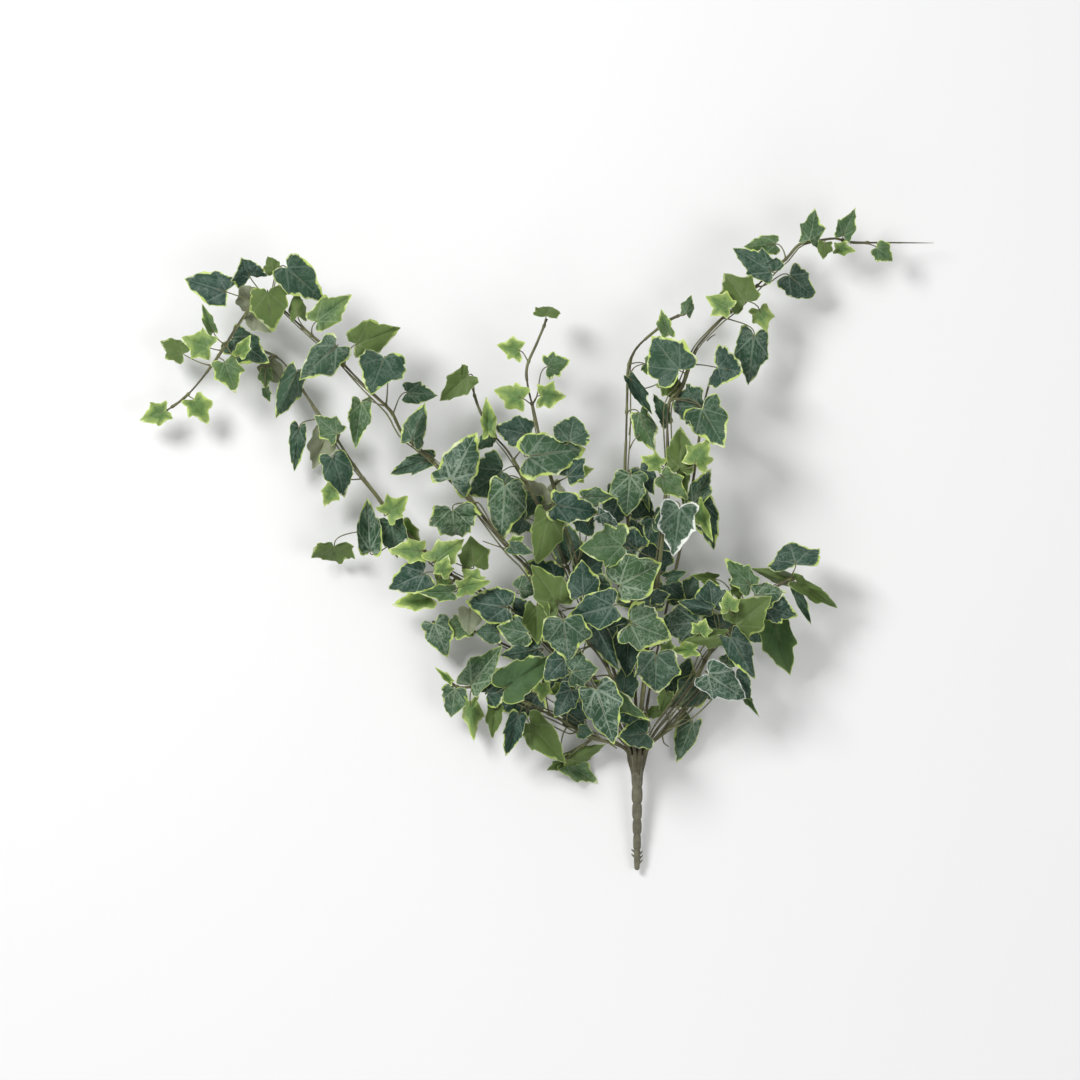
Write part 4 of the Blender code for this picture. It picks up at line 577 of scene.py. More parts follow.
class Build:
    """One mesh under construction, with the values its materials read."""

    def __init__(self):
        self.bm = bmesh.new()
        layers = self.bm.verts.layers
        self.spot = layers.float_vector.new("spot")  # leaf: along, across, number
        self.look = layers.float_vector.new("look")  # leaf: lightness, paleness, edge
        self.rim = layers.float.new("rim")  # 0 at the leaf's middle, 1 at its edge
        self.back = layers.float.new("back")  # 1 on the side that isn't printed

    def vert(self, p, spot=(0, 0, 0), look=(0, 0, 0), rim=0.0, back=0.0):
        v = self.bm.verts.new(place(Vector((p.x, p.y, max(p.z, FLOOR_GAP)))))
        v[self.spot], v[self.look], v[self.rim], v[self.back] = spot, look, rim, back
        return v

    def face(self, verts, slot):
        f = self.bm.faces.new(verts)
        f.material_index = slot
        f.smooth = True
        return f

    def tube(self, points, radii, sides, slot, wobble=0.0, seed=0.0):
        """Round rod along a path with domed ends."""
        rings = []
        up = Vector((0.31, 0.17, 0.93))
        last = len(points) - 1
        for i, p in enumerate(points):
            ahead = points[min(i + 1, last)] - p
            behind = p - points[max(i - 1, 0)]
            tangent = (ahead.normalized() + behind.normalized()).normalized()
            up = (up - tangent * up.dot(tangent)).normalized()
            side = tangent.cross(up)
            r = radii[i]
            if wobble:
                r *= 1.0 + wobble * noise.noise(p * 0.12 + Vector((seed, 0, 0)))
            ring = []
            for k in range(sides):
                a = 2 * math.pi * k / sides
                ring.append(self.vert(p + (side * math.cos(a) + up * math.sin(a)) * r))
            rings.append(ring)
        for first, second in zip(rings, rings[1:]):
            for k in range(sides):
                k2 = (k + 1) % sides
                self.face((first[k], first[k2], second[k2], second[k]), slot)
        for ring, p, q in ((rings[0], points[0], points[1]), (rings[-1], points[-1], points[-2])):
            out = (p - q).normalized()
            tip = self.vert(p + out * radii[0 if ring is rings[0] else -1] * 0.6)
            for k in range(sides):
                k2 = (k + 1) % sides
                self.face((ring[k2], ring[k], tip), slot)

    def finish(self, name, materials):
        bmesh.ops.recalc_face_normals(self.bm, faces=self.bm.faces)
        mesh = bpy.data.meshes.new(name)
        self.bm.to_mesh(mesh)
        self.bm.free()
        for m in materials:
            mesh.materials.append(m)
        obj = bpy.data.objects.new(name, mesh)
        bpy.context.scene.collection.objects.link(obj)
        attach(obj, "root")
        return obj


def leaf_edge(key, young):
    """Edge of one leaf, all round, with lobes of its own."""
    rows = []
    for side in (1.0, -1.0):
        lobe = 1.0 + 0.10 * spread(key, 6 + side)
        basal = 1.0 + 0.22 * spread(key, 9 + side)
        share = min(1.0, max(0.0, young + 0.25 * spread(key, 16 + side)))
        row = []
        for i, (first, second) in enumerate(zip(YOUNG_EDGE, OLD_EDGE)):
            u = first[0] * share + second[0] * (1.0 - share)
            v = first[1] * share + second[1] * (1.0 - share)
            if i < BASAL_POINTS:
                u, v = u * basal, v * (0.5 + 0.5 * basal)
            elif i < BASAL_POINTS + SIDE_POINTS:
                u, v = u + (lobe - 1.0) * 0.3, v * lobe
            n = noise.noise(Vector((u * 5.0, v * 5.0 * side, key * 1.7)))
            m = noise.noise(Vector((u * 9.0, v * 9.0 * side, key * 2.9)))
            u += 0.035 * n + 0.040 * m
            row.append((u, side * v * (1.0 + 0.10 * n + 0.12 * m)))
        rows.append(row)
    return rows[0] + [(1.0, 0.0)] + rows[1][::-1] + [(0.015, 0.0)]


def pad(u, v):
    """How far the cloth stands up between the main veins, from 0 on a vein to 1."""
    near = 1.0
    for angle, _ in MAIN_VEINS:
        c, s = math.cos(math.radians(angle)), math.sin(math.radians(angle))
        if u * c + abs(v) * s > 0.0:
            near = min(near, abs(abs(v) * c - u * s) / PAD_REACH)
    return math.sin(0.5 * math.pi * near)


def add_leaf(build, leaf, kind, settings):
    """Both sides of one leaf of printed cloth."""
    light, pale, edge, turned, young = KINDS[kind]
    key = leaf.key
    light = min(1.0, max(0.0, light + 0.10 * spread(key, 12)))
    pale = max(0.0, pale * (1.0 + 0.30 * spread(key, 13)))
    look = (light, pale, edge * (1.0 + 0.25 * spread(key, 14)))
    outline = leaf_edge(key, young)
    wave = settings.leaf_wave * leaf.length * (1.0 + 0.4 * spread(key, 19))
    curl = (0.16 * spread(key, 20) - 0.07) * leaf.length
    nod = (0.09 * spread(key, 21) + 0.05) * leaf.length
    phase = key * 1.3
    wide = min(1.3, max(0.7, 2 * leaf.half / math.cos(leaf.fold) / leaf.length))
    sides = []
    for sign in (1.0, -1.0):
        rings = []
        for r in LEAF_RINGS:
            ring = []
            for k, (u, v) in enumerate(outline):
                if r == 0.0 and k:
                    break
                uu = LEAF_HUB + (u - LEAF_HUB) * r
                vv = v * r
                theta = 2 * math.pi * k / len(outline)
                lift = 0.0
                for count, high, power, late in LEAF_WAVES:
                    lift += wave * high * r ** power * math.sin(count * theta + phase * late)
                lift += wave * noise.noise(Vector((uu * 3, vv * 3, key * 0.9)))
                lift += wave * 0.5 * noise.noise(Vector((uu * 8, vv * 8, key * 1.9)))
                lift += PAD_HEIGHT * leaf.length * pad(uu, vv)
                lift += curl * abs(vv * 2) ** 2.5 - nod * max(0.0, uu - 0.35) ** 2 * 2.4
                p = leaf.surface(uu, vv, lift)
                p.z = max(p.z, LEAF_FLOOR_GAP)
                p = p + leaf.normal * (sign * LEAF_CLOTH / 2)
                spot = (uu, vv * wide, key)
                back = float((sign > 0) == bool(turned))
                ring.append(build.vert(p, spot, look, r, back))
            rings.append(ring)
        n = len(outline)
        for k in range(n):
            build.face((rings[0][0], rings[1][k], rings[1][(k + 1) % n]), 0)
        for first, second in zip(rings[1:], rings[2:]):
            for k in range(n):
                k2 = (k + 1) % n
                build.face((first[k], first[k2], second[k2], second[k]), 0)
        sides.append(rings[-1])
    for k in range(n):
        k2 = (k + 1) % n
        f = build.face((sides[0][k], sides[0][k2], sides[1][k2], sides[1][k]), 0)
        f.smooth = False
    for ring in sides:
        for k in range(n):
            e = build.bm.edges.get((ring[k], ring[(k + 1) % n]))
            e.smooth = False


def add_petiole(build, leaf, path, s, s0, s1, settings):
    """Thin stalk from the stem to the leaf, run on under it as a rib, and its collar."""
    near = min(max(s, s0), s1)
    spot, axis = path.at(near)
    target = leaf.base - leaf.normal * 0.4
    out = target - spot
    out = out - axis * out.dot(axis)
    if out.length < 1.0:
        out = Vector((0, 0, 1)) - axis * axis.z
    out.normalize()
    reach = (target - spot).length
    along = leaf.axes @ Vector((1, 0, 0))
    start = spot + out * 0.6
    c1 = start + out * max(2.5, reach * 0.30) + axis * reach * 0.18
    c2 = target - along * max(2.0, reach * 0.30)
    points, radii = [], []
    pieces = max(5, min(12, int(reach / 3.5)))
    thick = settings.petiole_radius
    for k in range(pieces + 1):
        t = k / pieces
        p = start * (1 - t) ** 3 + c1 * 3 * t * (1 - t) ** 2
        points.append(p + c2 * 3 * t * t * (1 - t) + target * t ** 3)
        radii.append(thick * (1.35 - 0.45 * min(1.0, t * 4)) * (1 - 0.15 * t))
    for u in UNDER_RIB:
        points.append(leaf.surface(u, 0) - leaf.normal * (LEAF_CLOTH * 0.5 + 0.1))
        radii.append(thick * 0.75 * (1 - u * 1.3))
    build.tube(points, radii, 7, 1)
    a, b = path.at(near - COLLAR_REACH)[0], path.at(near + COLLAR_REACH)[0]
    r = path.radius(near) + settings.jacket_wall
    build.tube([a.lerp(b, t) for t, _ in COLLAR], [r * wide for _, wide in COLLAR], 9, 1)


class Nodes:
    """Short way of wiring shader nodes."""

    def __init__(self, name):
        self.mat = bpy.data.materials.new(name)
        self.mat.use_nodes = True
        self.tree = self.mat.node_tree
        self.shader = self.tree.nodes["Principled BSDF"]

    def add(self, kind, **settings):
        node = self.tree.nodes.new(kind)
        for key, value in settings.items():
            setattr(node, key, value)
        return node

    def put(self, value, socket):
        if hasattr(value, "links"):
            self.tree.links.new(value, socket)
        else:
            socket.default_value = value

    def math(self, op, a, b=0.0, c=0.0, clamp=False):
        node = self.add("ShaderNodeMath", operation=op, use_clamp=clamp)
        for socket, value in zip(node.inputs, (a, b, c)):
            self.put(value, socket)
        return node.outputs[0]

    def ramp(self, value, low, high, out_low=0.0, out_high=1.0):
        """Smooth step from one value to the other."""
        node = self.add("ShaderNodeMapRange", interpolation_type="SMOOTHSTEP")
        for socket, v in zip(node.inputs, (value, low, high, out_low, out_high)):
            self.put(v, socket)
        return node.outputs[0]

    def mix(self, factor, a, b):
        node = self.add("ShaderNodeMix", data_type="RGBA")
        self.put(factor, node.inputs["Factor"])
        for value, socket in ((a, node.inputs[6]), (b, node.inputs[7])):
            self.put(value if hasattr(value, "links") else (*value[:3], 1.0), socket)
        return node.outputs[2]

    def attribute(self, name):
        return self.add("ShaderNodeAttribute", attribute_name=name)

    def noise(self, vector, scale, detail=3.0, roughness=0.55):
        node = self.add("ShaderNodeTexNoise")
        self.put(vector, node.inputs["Vector"])
        node.inputs["Scale"].default_value = scale
        node.inputs["Detail"].default_value = detail
        node.inputs["Roughness"].default_value = roughness
        return node.outputs[0]

    def bump(self, height, strength, distance):
        node = self.add("ShaderNodeBump")
        node.inputs["Strength"].default_value = strength
        node.inputs["Distance"].default_value = distance
        self.put(height, node.inputs["Height"])
        self.put(node.outputs[0], self.shader.inputs["Normal"])


def vein_masks(g, spot):
    """Masks of a leaf's main veins and of the side veins that leave them."""
    cut = g.add("ShaderNodeSeparateXYZ")
    g.put(spot, cut.inputs[0])
    across = g.math("ABSOLUTE", cut.outputs[1])
    drift = g.math("SUBTRACT", g.noise(spot, 5.0, 2.0), 0.5)
    u = g.math("ADD", cut.outputs[0], g.math("MULTIPLY", drift, 0.10))
    w = g.math("ADD", across, g.math("MULTIPLY", drift, 0.05))
    mains, seconds = None, None
    for angle, width in MAIN_VEINS:
        c, s = math.cos(math.radians(angle)), math.sin(math.radians(angle))
        far = g.math("ADD", g.math("MULTIPLY", u, c), g.math("MULTIPLY", w, s))
        off = g.math("SUBTRACT", g.math("MULTIPLY", w, c), g.math("MULTIPLY", u, s))
        off = g.math("ABSOLUTE", off)
        wide = g.math("MULTIPLY", g.math("SUBTRACT", 1.2, far), width)
        line = g.ramp(g.math("SUBTRACT", wide, off), 0.0, 0.006)
        line = g.math("MULTIPLY", line, g.ramp(far, -0.01, 0.02))
        mains = line if mains is None else g.math("MAXIMUM", mains, line)
        step = g.math("MULTIPLY", g.math("SUBTRACT", far, g.math("MULTIPLY", off, 0.85)), 7.0)
        tooth = g.math("ABSOLUTE", g.math("SUBTRACT", g.math("FRACT", step), 0.5))
        side = g.ramp(tooth, 0.38, 0.48)
        side = g.math("MULTIPLY", side, g.ramp(off, 0.22, 0.10))
        side = g.math("MULTIPLY", side, g.ramp(far, 0.02, 0.10))
        seconds = side if seconds is None else g.math("MAXIMUM", seconds, side)
    return mains, seconds


def shaken(g, spot):
    """A leaf's coordinates with a slight shake, so that no pattern on it runs straight."""
    shake = g.add("ShaderNodeTexNoise")
    shake.inputs["Scale"].default_value = 6.0
    g.put(spot, shake.inputs["Vector"])
    small = g.add("ShaderNodeVectorMath", operation="SCALE")
    g.put(shake.outputs[1], small.inputs[0])
    small.inputs["Scale"].default_value = 0.16
    bent = g.add("ShaderNodeVectorMath", operation="ADD")
    g.put(spot, bent.inputs[0])
    g.put(small.outputs[0], bent.inputs[1])
    return bent.outputs[0]


def print_mask(g, bent, mains, seconds, pale):
    """Mask of the pale print: veins, a fine net between them and blotches."""
    net = g.add("ShaderNodeTexVoronoi", feature="DISTANCE_TO_EDGE")
    net.inputs["Scale"].default_value = 9.0
    g.put(bent, net.inputs["Vector"])
    mesh = g.ramp(net.outputs[0], 0.10, 0.02)
    cloud = g.ramp(g.noise(bent, 4.5, 4.0), 0.42, 0.62)
    fine = g.ramp(g.noise(bent, 22.0, 3.0), 0.40, 0.66)
    mask = g.math("MULTIPLY", mains, 0.85)
    mask = g.math("MAXIMUM", mask, g.math("MULTIPLY", seconds, 0.55))
    mask = g.math("MAXIMUM", mask, g.math("MULTIPLY", mesh, g.math("MULTIPLY", cloud, 0.75)))
    blotch = g.math("MULTIPLY", g.math("MULTIPLY", cloud, fine), 0.55)
    mask = g.math("ADD", mask, blotch, clamp=True)
    return g.math("MULTIPLY", mask, g.math("MULTIPLY", pale, 0.85), clamp=True)


def leaf_cloth(name, settings, roughness):
    """Printed ivy leaf: dark or light green, pale net of veins, yellow edge, plain back."""
    g = Nodes(name)
    spot = g.attribute("spot").outputs["Vector"]
    look = g.add("ShaderNodeSeparateXYZ")
    g.put(g.attribute("look").outputs["Vector"], look.inputs[0])
    light, pale, edge = look.outputs
    rim = g.attribute("rim").outputs["Fac"]
    back = g.attribute("back").outputs["Fac"]
    mains, seconds = vein_masks(g, spot)
    bent = shaken(g, spot)

    # Ground colour of the front with random darker patches and a painted grey sheen, then the
    # print on it.
    base = g.mix(light, settings.leaf_dark, settings.leaf_light)
    shade = g.ramp(g.noise(bent, 2.2, 3.0), 0.25, 0.75, 0.0, 0.45)
    base = g.mix(shade, base, g.mix(light, settings.leaf_deep, settings.leaf_mid))
    # Painted sheen: random patches of bluish grey that stand in for the soft highlights on the
    # leaves. They are stronger where the print is paler.
    grey = g.ramp(g.noise(spot, 1.6), 0.40, 0.65, 0.0, 0.30)
    base = g.mix(g.math("MULTIPLY", grey, pale), base, settings.leaf_painted_sheen)
    veins = g.mix(light, settings.print_grey, settings.print_lime)
    front = g.mix(print_mask(g, bent, mains, seconds, pale), base, veins)

    # Ragged edge, yellow green and cream. It is white, and narrow, only on the dark leaves
    # with the strongest edge.
    ragged = g.math("MULTIPLY", g.math("SUBTRACT", g.noise(bent, 3.6, 4.0), 0.5), 0.62)
    border = g.math("ADD", rim, ragged)
    border = g.math("ADD", border, g.math("MULTIPLY", g.math("SUBTRACT", edge, 1.0), 0.16))
    white = g.math("MULTIPLY", g.ramp(edge, 1.255, 1.275), g.ramp(light, 0.6, 0.3))
    border = g.math("SUBTRACT", border, g.math("MULTIPLY", white, 0.12))
    border = g.math("MAXIMUM", g.ramp(border, 0.90, 0.99), g.ramp(rim, 0.945, 0.985, 0.0, 0.8))
    hem = g.mix(g.ramp(g.noise(spot, 3.0), 0.45, 0.65), settings.edge_lime, settings.edge_cream)
    hem = g.mix(white, hem, settings.edge_white)
    young = g.ramp(g.math("ADD", rim, g.math("MULTIPLY", ragged, 1.6)), 0.35, 0.95, 0.0, 0.75)
    front = g.mix(g.math("MULTIPLY", young, g.ramp(light, 0.3, 0.9)), front, settings.leaf_lime)
    front = g.mix(border, front, hem)

    # Plain back with its ribs.
    under = g.mix(g.ramp(pale, 0.1, 0.9), settings.back_olive, settings.back_pale)
    under = g.mix(g.math("MULTIPLY", mains, 0.35), under, settings.back_rib)
    patch = g.ramp(g.noise(bent, 3.0), 0.3, 0.7, 0.0, 0.30)
    under = g.mix(patch, under, settings.back_shade)
    under = g.mix(g.math("MULTIPLY", border, 0.55), under, hem)
    g.put(g.mix(back, front, under), g.shader.inputs["Base Color"])
    g.shader.inputs["Roughness"].default_value = roughness
    g.shader.inputs["Specular IOR Level"].default_value = 0.25
    weave = g.noise(g.add("ShaderNodeTexCoord").outputs["Object"], 2600.0, 2.0)
    height = g.math("MULTIPLY", mains, -1.0)
    height = g.math("SUBTRACT", height, g.math("MULTIPLY", seconds, 0.45))
    height = g.math("ADD", height, g.math("MULTIPLY", weave, 0.25))
    g.bump(height, 0.55, 0.0005)
    return g.mat


def moulded_plastic(name, colour, shadow, roughness, scale, bump):
    """Plastic of a stem or stake, with darker streaks and a fine grain."""
    g = Nodes(name)
    where = g.add("ShaderNodeTexCoord").outputs["Object"]
    tone = g.ramp(g.noise(where, scale, 4.0), 0.35, 0.65)
    grain = g.noise(where, scale * 9.0, 3.0)
    colour_out = g.mix(tone, colour, shadow)
    colour_out = g.mix(g.ramp(grain, 0.5, 0.8, 0.0, 0.35), colour_out, [c * 1.5 for c in colour])
    g.put(colour_out, g.shader.inputs["Base Color"])
    g.shader.inputs["Roughness"].default_value = roughness
    g.shader.inputs["Specular IOR Level"].default_value = 0.4
    g.bump(grain, bump, 0.0004)
    return g.mat


def colour(name, description, *value):
    """Colour setting shown in the panel."""
    return FloatVectorProperty(
        name=name, description=description, subtype="COLOR", size=3, min=0.0, max=1.0,
        default=value)


class IvyLeafSettings(bpy.types.PropertyGroup):
    """Sizes and colours of the leaves and their stalks"""
    leaf_wave: FloatProperty(
        name="Leaf wave", description="Height of a leaf's waves, in parts of its length",
        default=0.050, min=0.0, max=0.1)
    petiole_radius: FloatProperty(
        name="Petiole radius", description="Radius of a leaf stalk, in millimetres",
        default=0.75, min=0.3, max=1.5)
    jacket_wall: FloatProperty(
        name="Jacket wall", description="Wall of a spray's jacket on its stem, in millimetres",
        default=0.45, min=0.2, max=1.1)
    leaf_dark: colour("Old leaf", "Print of the oldest leaves", 0.022, 0.066, 0.040)
    leaf_deep: colour(
        "Old leaf shade", "Darkest patches of the oldest leaves", 0.008, 0.027, 0.020)
    leaf_mid: colour("Young leaf shade", "Darker patches of young leaves", 0.056, 0.140, 0.032)
    leaf_light: colour("Young leaf", "Print of the youngest leaves", 0.140, 0.248, 0.060)
    leaf_lime: colour(
        "Young leaf rim", "Yellow green towards the edge of young leaves", 0.370, 0.490, 0.140)
    # Bluish grey of the painted sheen, a painted highlight on the leaves.
    leaf_painted_sheen: colour("Painted grey sheen", "Painted greyish green sheen in patches on old leaves", 0.104, 0.170, 0.130)
    print_grey: colour(
        "Vein print", "Pale print along the veins of old leaves", 0.310, 0.390, 0.320)
    print_lime: colour(
        "Young vein print", "Print along the veins of young leaves", 0.330, 0.440, 0.180)
    edge_lime: colour("Edge", "Yellow green edge of a leaf", 0.510, 0.650, 0.160)
    edge_cream: colour("Pale edge", "Paler stretches of the edge", 0.720, 0.780, 0.470)
    edge_white: colour("White edge", "Edge of the few white-edged leaves", 0.820, 0.860, 0.790)
    back_olive: colour("Back", "Back of most leaves", 0.110, 0.170, 0.045)
    back_pale: colour("Pale back", "Back of the palest leaves", 0.320, 0.345, 0.235)
    back_rib: colour("Back rib", "Ribs on the back of a leaf", 0.210, 0.270, 0.120)
    back_shade: colour("Back shade", "Darker patches of the back", 0.055, 0.100, 0.028)


class IvyStemSettings(bpy.types.PropertyGroup):
    """Sides and colours of the stems and wires"""
    sides: IntProperty(
        name="Sides", description="Sides of a round stem", default=12, min=6, max=32)
    stem_colour: colour("Stem", "Plastic of the stems", 0.105, 0.098, 0.052)
    stem_shadow: colour("Stem shade", "Darker streaks of the stems", 0.060, 0.054, 0.030)
    wire_colour: colour("Wire", "Plastic of the thin wires and stalks", 0.170, 0.180, 0.075)


class IvyStakeSettings(bpy.types.PropertyGroup):
    """Sides, ribs and colours of the stake"""
    sides: IntProperty(
        name="Sides", description="Sides of the turned body", default=64, min=16, max=128)
    rib_depth: FloatProperty(
        name="Rib depth", description="Depth of the lengthwise ribs, in parts of the radius",
        default=0.035, min=0.0, max=0.1)
    stake_colour: colour("Stake", "Plastic of the stake", 0.165, 0.160, 0.105)
    stake_shadow: colour("Stake shade", "Darker streaks of the stake", 0.105, 0.100, 0.066)


class IvyStageSettings(bpy.types.PropertyGroup):
    """Floor, light from all round and camera"""
    floor_colour: colour("Floor", "Colour of the floor", 0.90, 0.90, 0.90)
    camera_height: FloatProperty(
        name="Camera height", description="Height of the camera above the floor",
        default=8.0, min=2.0, max=20.0, unit="LENGTH")
    view_width: FloatProperty(
        name="View width", description="Width of the view at the middle of the bush",
        default=1.08, min=0.3, max=3.0, unit="LENGTH")
    sky: FloatProperty(
        name="Sky", description="Strength of the light from all round", default=0.40, min=0.0)


PATHS = stem_paths()
SLOT_OF_SPRAY = {p["node"]: p["material_slot"] for p in frame["record"]["subparts"]}


class IVY_OT_stake(bpy.types.Operator):
    """Build the moulded stake with its beads, ribs and barbs"""
    bl_idname = "ivy.stake"
    bl_label = "Stake"

    def execute(self, context):
        settings = context.scene.ivy_stake
        build = Build()
        n = settings.sides
        right = Vector((1, 0, 0))
        rings = []
        rows = [Vector((d, r, 0)) for d, r in STAKE_PROFILE]
        for row in smooth_path(rows, STAKE_STEP):
            depth, radius = row.x, max(row.y, 0.02)
            ring = []
            for k in range(n):
                a = 2 * math.pi * k / n
                rib = settings.rib_depth if RIB_START < depth < RIB_END else 0.0
                r = radius * (1.0 + rib * math.cos(a * STAKE_RIBS))
                r = r * (1.0 + 0.02 * noise.noise(Vector((math.cos(a) * 2, depth * 0.2, a))))
                out = right * math.cos(a) + STAKE_OUT * math.sin(a)
                ring.append(build.vert(CROWN - STAKE_UP * depth + out * r))
            rings.append(ring)
        for first, second in zip(rings, rings[1:]):
            for k in range(n):
                k2 = (k + 1) % n
                build.face((first[k], first[k2], second[k2], second[k]), 0)
        build.face(rings[0], 0)
        build.face(rings[-1], 0)
        for depth, side in BARBS:
            root = CROWN - STAKE_UP * depth
            run = [root + right * side * out + STAKE_UP * up for out, up, _ in BARB_RUN]
            build.tube(run, [r for _, _, r in BARB_RUN], 10, 0)
        plastic = moulded_plastic("stake_plastic", settings.stake_colour, settings.stake_shadow,
                                  0.5, 160.0, 0.25)
        obj = build.finish("visual_stake", [plastic])
        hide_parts("stake")
        return {"FINISHED"}


class IVY_OT_stems(bpy.types.Operator):
    """Build the wired stems"""
    bl_idname = "ivy.stems"
    bl_label = "Stems"

    def execute(self, context):
        settings = context.scene.ivy_stems
        plastic = moulded_plastic("stem_plastic", settings.stem_colour, settings.stem_shadow,
                                  0.6, 90.0, 0.3)
        for i, (name, path) in enumerate(PATHS.items()):
            build = Build()
            radii = [path.radius(s) + STEM_FLARE * math.exp(-s / STEM_FLARE_LENGTH)
                     for s in path.lengths]
            # Stem F ends in a long bare tip.
            if name == "F":
                left = [path.total - s for s in path.lengths]
                radii = [r * min(1.0, 0.22 + d / 60.0) for r, d in zip(radii, left)]
            # In the neck the stems close up and run down its side as ribs.
            foot = CROWN - STAKE_UP * (SOCKET_DEPTH - 1.0)
            away = path.points[0] - foot
            neck = [CROWN - STAKE_UP * depth + away * share for depth, share, _ in NECK_RUN]
            neck.append(foot + away * NECK_PINCH)
            radii = [r for _, _, r in NECK_RUN] + radii
            build.tube(neck + path.points[1:], radii, settings.sides, 0, 0.25, i)
            obj = build.finish("visual_stem_" + name, [plastic])
            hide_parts("stem_" + name)
        return {"FINISHED"}


class IVY_OT_wires(bpy.types.Operator):
    """Build the thin wires beside the stems and the free tendrils"""
    bl_idname = "ivy.wires"
    bl_label = "Wires"

    def execute(self, context):
        settings = context.scene.ivy_stems
        plastic = moulded_plastic("wire_plastic", settings.wire_colour, settings.stem_colour,
                                  0.55, 120.0, 0.2)
        build = Build()
        for i, (name, offset, height, radius, start, end) in enumerate(SIDE_WIRES):
            path = PATHS[name]
            points, radii = [], []
            count = int(path.total * (end - start) / WIRE_STEP)
            for k in range(count + 1):
                t = k / count
                s = path.total * (start + (end - start) * t)
                p, tangent = path.at(s)
                side = Vector((-tangent.y, tangent.x, 0)).normalized()
                spread_out = min(1.0, s / 40.0) * min(1.0, (1.0 - t) * 6.0 + 0.35)
                away = offset * spread_out * (1.0 + 0.45 * math.sin(s / 31.0 + i * 1.7))
                lift = height + 1.2 * math.sin(s / 23.0 + i)
                points.append(p + side * away + Vector((0, 0, lift * spread_out)))
                radii.append(radius * (1.0 if t < 0.9 else 1.0 - (t - 0.9) * 5))
            build.tube(points, radii, 8, 0, 0.2, i)
        for i, (radius, points) in enumerate(TENDRILS):
            fine = smooth_path([Vector(p) for p in points], TENDRIL_STEP)
            taper = [radius * (1.0 - 0.35 * k / len(fine)) for k in range(len(fine))]
            build.tube(fine, taper, 8, 0, 0.2, i)
        build.finish("visual_wires", [plastic])
        return {"FINISHED"}


class IVY_OT_sprays(bpy.types.Operator):
    """Build every spray: its jacket, petioles and printed leaves"""
    bl_idname = "ivy.sprays"
    bl_label = "Sprays of leaves"

    def execute(self, context):
        settings = context.scene.ivy_leaves
        stems = context.scene.ivy_stems
        cloths = {
            "leaf_dark": leaf_cloth("leaf_dark_cloth", settings, 0.50),
            "leaf_grey": leaf_cloth("leaf_grey_cloth", settings, 0.54),
            "leaf_light": leaf_cloth("leaf_light_cloth", settings, 0.58)}
        stalk = moulded_plastic("stalk_plastic", stems.stem_colour, stems.wire_colour,
                                0.58, 70.0, 0.25)
        key = 0
        for name, stem, start, end, leaves in SPRAYS:
            node = "spray_" + name
            tree = corner_tree(node)
            path = PATHS[stem]
            s0, s1 = path.nearest(*start), min(path.nearest(*end), path.total - 1.5)
            build = Build()
            span = [s0 + (s1 - s0) * k / JACKET_PIECES for k in range(JACKET_PIECES + 1)]
            radii = [path.radius(s) + settings.jacket_wall for s in span]
            for k in (0, -1):
                radii[k] -= 0.6 * settings.jacket_wall
            build.tube([path.at(s)[0] for s in span], radii, stems.sides, 1, 0.2, key)
            for entry in leaves:
                key += 1
                leaf = leaf_in_frame(key, entry, tree)
                near = path.nearest(leaf.base.x, leaf.base.y)
                gap = (leaf.base - path.at(near)[0]).xy.length
                add_petiole(build, leaf, path, near - 0.35 * gap, s0 + JACKET_END,
                            s1 - JACKET_END, settings)
                add_leaf(build, leaf, entry[6], settings)
            slot = SLOT_OF_SPRAY[node]
            obj = build.finish("visual_" + node, [cloths[slot], stalk])
            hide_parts(node)
        return {"FINISHED"}


def add_floor(scene, settings):
    """Flat sheet of pale paper just under the bush."""
    bm = bmesh.new()
    bmesh.ops.create_grid(bm, x_segments=8, y_segments=8, size=FLOOR_SIZE)
    mesh = bpy.data.meshes.new("floor")
    bm.to_mesh(mesh)
    bm.free()
    floor = bpy.data.objects.new("floor", mesh)
    floor.location.z = -FLOOR_DROP
    scene.collection.objects.link(floor)
    paper = Nodes("floor_paper")
    tone = paper.noise(paper.add("ShaderNodeTexCoord").outputs["Object"], 3.0)
    shade = [c * 0.985 for c in settings.floor_colour]
    paper.put(paper.mix(tone, settings.floor_colour, shade), paper.shader.inputs["Base Color"])
    paper.shader.inputs["Roughness"].default_value = 0.9
    mesh.materials.append(paper.mat)
    return floor


def light_studio(scene, settings):
    """Even light from all round and three soft lamps."""
    world = bpy.data.worlds.new("studio")
    world.use_nodes = True
    sky = world.node_tree.nodes["Background"]
    sky.inputs["Color"].default_value = (1.0, 1.0, 1.0, 1.0)
    sky.inputs["Strength"].default_value = settings.sky
    scene.world = world
    for name, spot, size, power in LIGHTS:
        data = bpy.data.lights.new(name, "AREA")
        data.shape = "DISK"
        data.size = size
        data.energy = power
        light = bpy.data.objects.new(name, data)
        light.location = spot
        light.rotation_euler = (-Vector(spot)).to_track_quat("-Z", "Y").to_euler()
        scene.collection.objects.link(light)


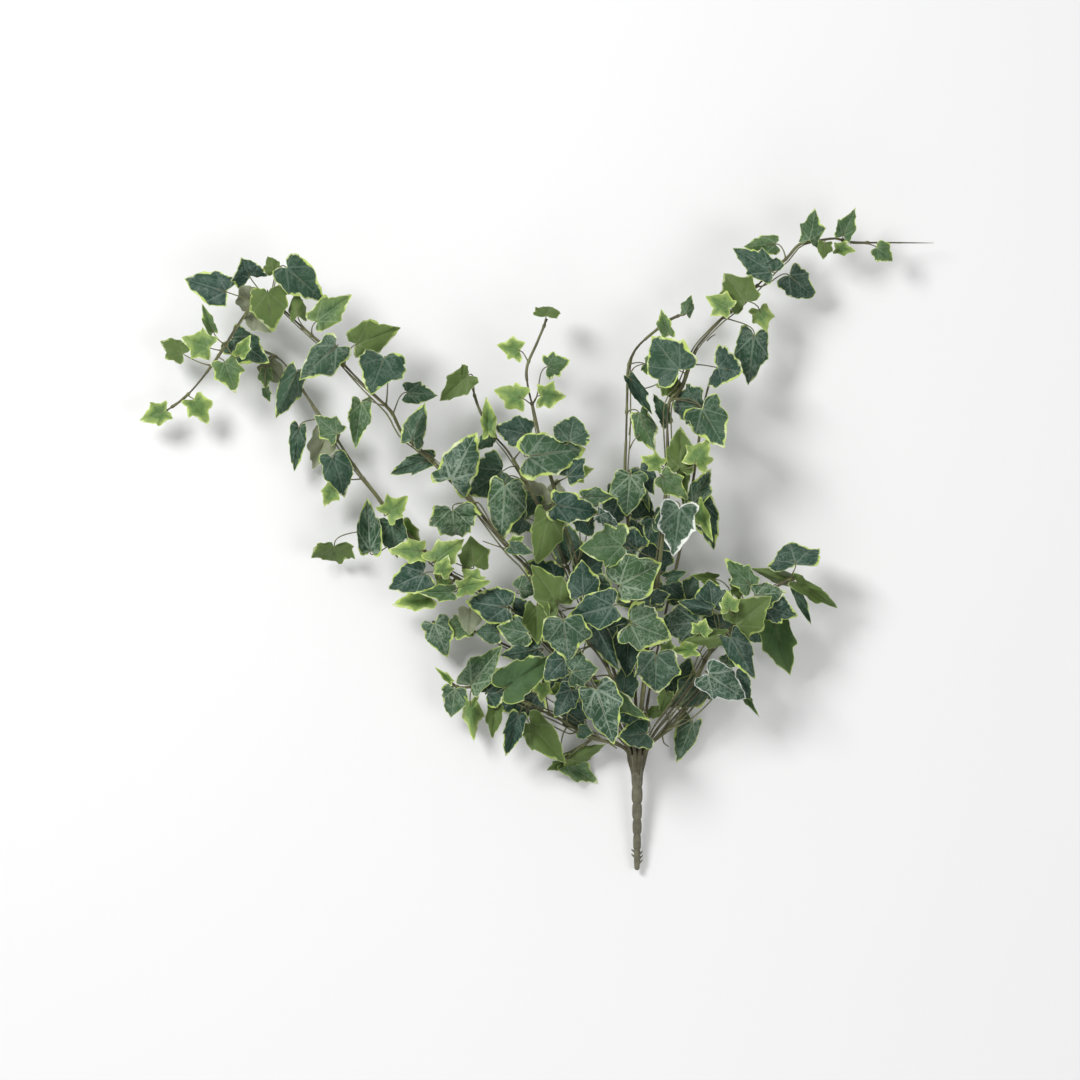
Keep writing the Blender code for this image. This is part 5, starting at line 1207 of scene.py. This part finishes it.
def add_camera(scene, settings):
    """Camera high above the bush, looking straight down."""
    data = bpy.data.cameras.new("camera")
    data.sensor_width = 36.0
    distance = settings.camera_height - VIEW_HEIGHT
    data.lens = data.sensor_width * distance / settings.view_width
    data.clip_end = 100.0
    camera = bpy.data.objects.new("camera", data)
    centre = place(VIEW_CENTRE)
    camera.location = (centre.x, centre.y, settings.camera_height)
    scene.collection.objects.link(camera)
    scene.camera = camera
    scene.view_settings.view_transform = "Standard"


class IVY_OT_stage(bpy.types.Operator):
    """Set the floor, the lights and the camera that looks straight down"""
    bl_idname = "ivy.stage"
    bl_label = "Stage"

    def execute(self, context):
        settings = context.scene.ivy_stage
        add_floor(context.scene, settings)
        light_studio(context.scene, settings)
        add_camera(context.scene, settings)
        return {"FINISHED"}


class IVY_PT_panel(bpy.types.Panel):
    """Lists the steps that build the bush"""
    bl_idname = "IVY_PT_panel"
    bl_label = "Ivy Bush"
    bl_space_type = "VIEW_3D"
    bl_region_type = "UI"
    bl_category = "Ivy"

    def draw(self, context):
        for settings in (context.scene.ivy_leaves, context.scene.ivy_stems,
                         context.scene.ivy_stake, context.scene.ivy_stage):
            box = self.layout.box()
            for name in settings.__annotations__:
                box.prop(settings, name)
        for operator in OPERATORS:
            self.layout.operator(operator.bl_idname)


OPERATORS = (IVY_OT_stake, IVY_OT_stems, IVY_OT_wires, IVY_OT_sprays, IVY_OT_stage)
GROUPS = (
    ("ivy_leaves", IvyLeafSettings), ("ivy_stems", IvyStemSettings),
    ("ivy_stake", IvyStakeSettings), ("ivy_stage", IvyStageSettings))


def register():
    for name, group in GROUPS:
        bpy.utils.register_class(group)
        setattr(bpy.types.Scene, name, PointerProperty(type=group))
    for cls in OPERATORS + (IVY_PT_panel,):
        bpy.utils.register_class(cls)


def unregister():
    for cls in (IVY_PT_panel,) + OPERATORS[::-1]:
        bpy.utils.unregister_class(cls)
    for name, group in GROUPS[::-1]:
        delattr(bpy.types.Scene, name)
        bpy.utils.unregister_class(group)


def main():
    register()
    bpy.ops.ivy.stake()
    bpy.ops.ivy.stems()
    bpy.ops.ivy.wires()
    bpy.ops.ivy.sprays()
    bpy.ops.ivy.stage()


if __name__ == "__main__":
    main()
